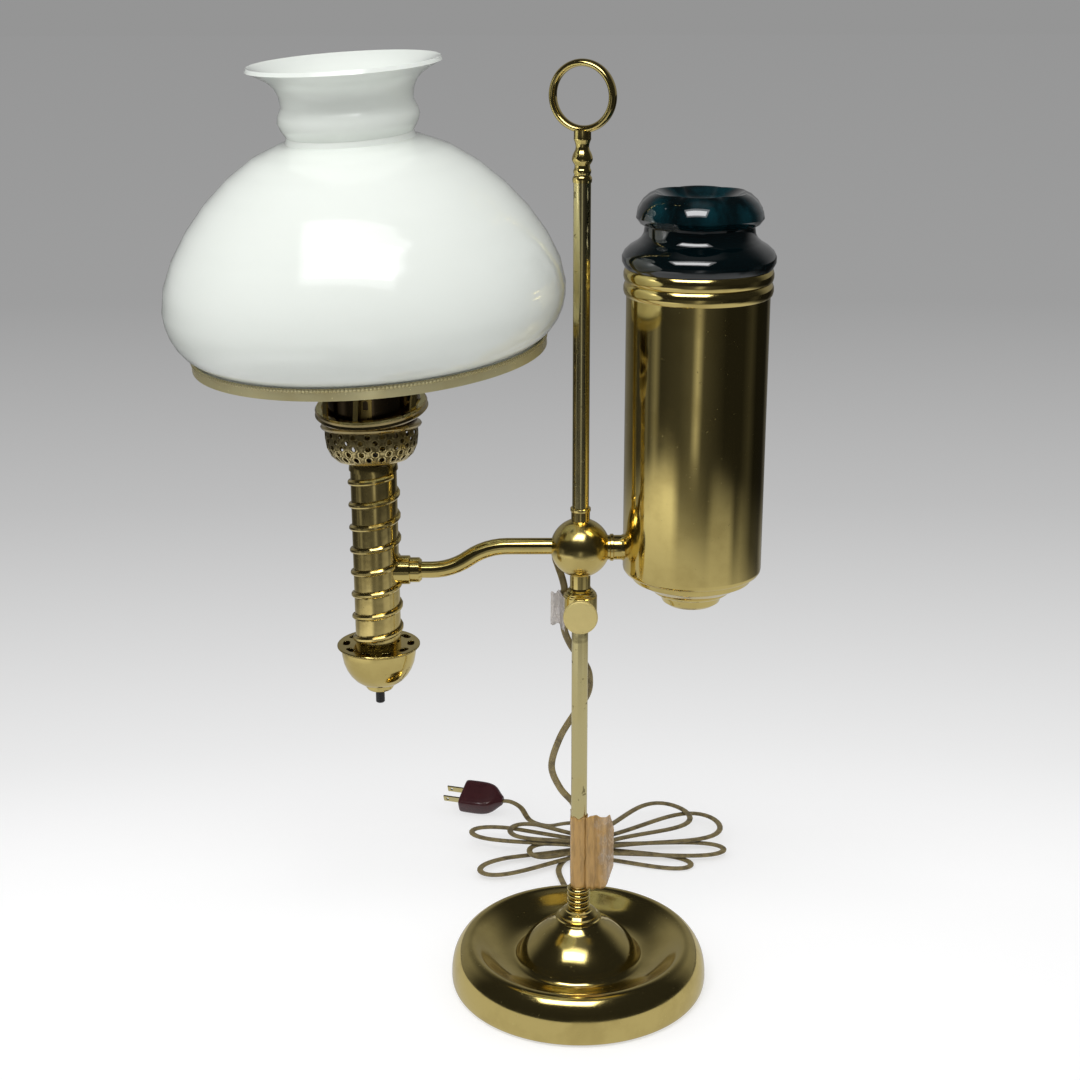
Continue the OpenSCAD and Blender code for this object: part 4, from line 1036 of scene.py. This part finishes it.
class LAMP_OT_stage(bpy.types.Operator):
    """Lay the pale floor and hang the studio lights"""

    bl_idname = "lamp.stage"
    bl_label = "Stage"

    # Half the floor's width in metres, and its squares along a side
    FLOOR, SQUARES = 14.0, 28

    # Painted light: grey of the paper, falling off with distance d in metres, as (d / (d + REACH),
    # grey)
    REACH = 1.5
    FADE = ((0.0, 1.0), (0.129, 0.955), (0.278, 0.77), (0.472, 0.51), (0.661, 0.34), (1.0, 0.29))

    # Painted reflection: what polished metal shows of the floor, by the direction in degrees from
    # the
    # front, clockwise from above: grey of the paper near the lamp, and of the dark studio past the
    # paper's edge
    NEAR = ((-180, 0.3), (-110, 0.3), (-95, 0.7), (-36, 0.9), (-22, 0.16), (22, 0.08), (32, 0.3),
            (60, 0.35), (70, 0.08), (82, 0.2), (105, 0.05), (130, 0.05), (150, 0.25), (180, 0.3))
    FAR = ((-180, 0.2), (-145, 0.12), (-125, 0.03), (-96, 0.04), (-90, 0.13), (-84, 0.05),
           (-72, 0.2), (-62, 0.03), (-28, 0.05), (-9, 0.09), (0, 0.45), (9, 0.06), (28, 0.035),
           (45, 0.015), (76, 0.015), (92, 0.04), (106, 0.01), (135, 0.01), (165, 0.15), (180, 0.2))
    # Distance at which the paper ends, in parts of EDGE_MOST metres
    EDGE_MOST = 2.0
    EDGE = ((-180, 0.6), (-100, 0.5), (-50, 0.53), (-24, 0.5), (0, 0.58), (24, 0.5), (40, 0.53),
            (60, 0.52), (110, 0.55), (180, 0.6))

    # Name, place, aim, width and height in metres, shares of the key's and of the side's power:
    # metal mirrors the key's only
    AIM = (-0.15, -0.25, 0.4)
    LIGHTS = (
        ("key", (-0.27, -0.93, 1.9), AIM, (1.3, 0.55), 0.6, 0.0),
        ("key_edge", (-0.27, -0.94, 1.92), AIM, (1.55, 1.0), 0.38, 0.0),
        ("side", (-1.7, -0.2, 1.1), (0, 0, 0.35), (0.6, 1.3), 0.0, 1.05),
        ("side", (1.7, -0.2, 1.1), (0, 0, 0.35), (0.6, 1.3), 0.0, 0.7),
        ("low", (-0.2, -1.6, 0.25), (-0.15, 0, 0.6), (1.2, 0.4), 0.0, 0.35))

    def fade(self, s, x, y):
        """The paper's distance, which counts less across the view, and its grey there, which falls
        off as painted light.
        """
        away = (x * x * 0.16 + y * y) ** 0.5
        stops = [(p, (c, c, c * 1.002)) for p, c in self.FADE]
        return away, s.ramp(away / (away + self.REACH), stops)

    def around(self, s, turn, stops):
        """The grey in a table of directions."""
        return s.ramp(turn, [((a + 180) / 360, (v, v, v)) for a, v in stops])

    def mirrored(self, s, x, y):
        """The floor's painted reflection in polished metal: even near the lamp, and then by the
        tables.
        """
        away = (x * x + y * y) ** 0.5
        turn = turns_about(y * -1.0, x) + 0.5
        edge = self.around(s, turn, self.EDGE) * self.EDGE_MOST
        past = s.step(away - edge, -0.15, 0.22)
        level = s.mix(past, self.around(s, turn, self.NEAR), self.around(s, turn, self.FAR))
        return s.mix(s.step(away, 0.6, 1.0), (0.52, 0.52, 0.52), level)

    def floor(self):
        """Matt paper, which glows further off as an even backdrop would. Its grey falls off with
        distance as painted light, and polished metal sees a painted reflection of it.
        """
        marks = [self.FLOOR * (2 * i / self.SQUARES - 1) for i in range(self.SQUARES + 1)]
        points = [(x, y, -0.0002) for y in marks for x in marks]
        obj = make_mesh("pale_floor", points, sheet_faces(len(marks), len(marks)))
        made, s = material("pale_floor")
        x, y, _ = s.parts(s.place())
        away, grey = self.fade(s, x, y)
        rays = s.add("ShaderNodeLightPath").socket.node
        paper = s.add("ShaderNodeBsdfDiffuse", None, {"Color": grey})
        open_floor = s.step(away, 0.16, 0.5)
        # The glow is stronger near the lamp: painted light.
        strength = 1.2 - open_floor * 0.2
        glow = s.add("ShaderNodeEmission", None, {"Color": grey, "Strength": strength})
        seen = Value(s, rays.outputs["Is Camera Ray"]) * (0.45 + 0.55 * open_floor)
        both = s.add("ShaderNodeMixShader", None, {0: seen, 1: paper, 2: glow})
        glossy = Value(s, rays.outputs["Is Glossy Ray"])
        # Polished metal sees the floor in these greys: a painted reflection.
        painted_reflection = s.add("ShaderNodeEmission", None, {"Color": self.mirrored(s, x, y)})
        both = s.add("ShaderNodeMixShader", None, {0: glossy, 1: both, 2: painted_reflection})
        s.add("ShaderNodeOutputMaterial", None, {"Surface": both})
        cover(obj, made)

    def light(self, name, place, aim, size, power, mirrored):
        """A soft box, which metal mirrors or not."""
        data = bpy.data.lights.new(name, "AREA")
        data.shape, data.size, data.size_y = "RECTANGLE", size[0], size[1]
        data.energy = power
        obj = bpy.data.objects.new(name, data)
        obj.location = place
        obj.rotation_euler = (Vector(aim) - Vector(place)).to_track_quat("-Z", "Y").to_euler()
        obj.visible_glossy = mirrored
        bpy.context.scene.collection.objects.link(obj)

    def room(self, strength):
        """Even light all round, where metal mirrors a dim studio instead."""
        world = bpy.data.worlds.new("studio")
        bpy.context.scene.world = world
        s = Shader(world)
        rays = s.add("ShaderNodeLightPath").socket.node
        camera = Value(s, rays.outputs["Is Camera Ray"])
        glossy = Value(s, rays.outputs["Is Glossy Ray"])
        _, back, up = s.parts(s.add("ShaderNodeTexCoord", output="Generated"))
        wall = s.step(back, 0.1, 0.7) * (1 - s.step(up, 0.35, 0.8))
        studio = 0.02 + wall * 0.2 + s.step(up, 0.9, 1.0) * 0.1
        level = s.mix(glossy, (strength,) * 3, studio)
        level = s.mix(camera, level, (0.3, 0.3, 0.3))
        light = s.add("ShaderNodeBackground", None, {"Color": level, "Strength": 1.0})
        s.add("ShaderNodeOutputWorld", None, {"Surface": light})

    def execute(self, context):
        studio = context.scene.lamp_studio
        self.floor()
        self.room(studio.room_light)
        for name, place, aim, size, key, side in self.LIGHTS:
            power = studio.key_power * key + studio.side_power * side
            self.light(name, place, aim, size, power, key > 0)
        context.scene.view_settings.view_transform = "Standard"
        return {"FINISHED"}


class LAMP_PT_panel(bpy.types.Panel):
    """Steps and settings of the student lamp"""

    bl_idname = "LAMP_PT_panel"
    bl_label = "Student lamp"
    bl_space_type = "VIEW_3D"
    bl_region_type = "UI"
    bl_category = "Student lamp"

    def draw(self, context):
        for step in STEPS:
            self.layout.operator(step.bl_idname)
        for group in GROUPS:
            settings = getattr(context.scene, group)
            column = self.layout.column()
            for name in settings.bl_rna.properties.keys():
                if name not in ("rna_type", "name"):
                    column.prop(settings, name)


STEPS = (
    LAMP_OT_camera, LAMP_OT_plug, LAMP_OT_cord, LAMP_OT_tapes, LAMP_OT_drum, LAMP_OT_base,
    LAMP_OT_metals, LAMP_OT_glass, LAMP_OT_stage,
)
GROUPS = {
    "lamp_finishes": LAMP_PG_finishes,
    "lamp_sizes": LAMP_PG_sizes,
    "lamp_studio": LAMP_PG_studio,
}
CLASSES = (*GROUPS.values(), *STEPS, LAMP_PT_panel)


def register():
    for cls in CLASSES:
        bpy.utils.register_class(cls)
    for name, group in GROUPS.items():
        setattr(bpy.types.Scene, name, bpy.props.PointerProperty(type=group))


def unregister():
    for name in GROUPS:
        delattr(bpy.types.Scene, name)
    for cls in reversed(CLASSES):
        bpy.utils.unregister_class(cls)


def main():
    register()
    bpy.ops.lamp.camera()
    bpy.ops.lamp.plug()
    bpy.ops.lamp.cord()
    bpy.ops.lamp.tapes()
    bpy.ops.lamp.drum()
    bpy.ops.lamp.base()
    bpy.ops.lamp.metals()
    bpy.ops.lamp.glass()
    bpy.ops.lamp.stage()
    bpy.context.view_layer.update()


if __name__ == "__main__":
    main()
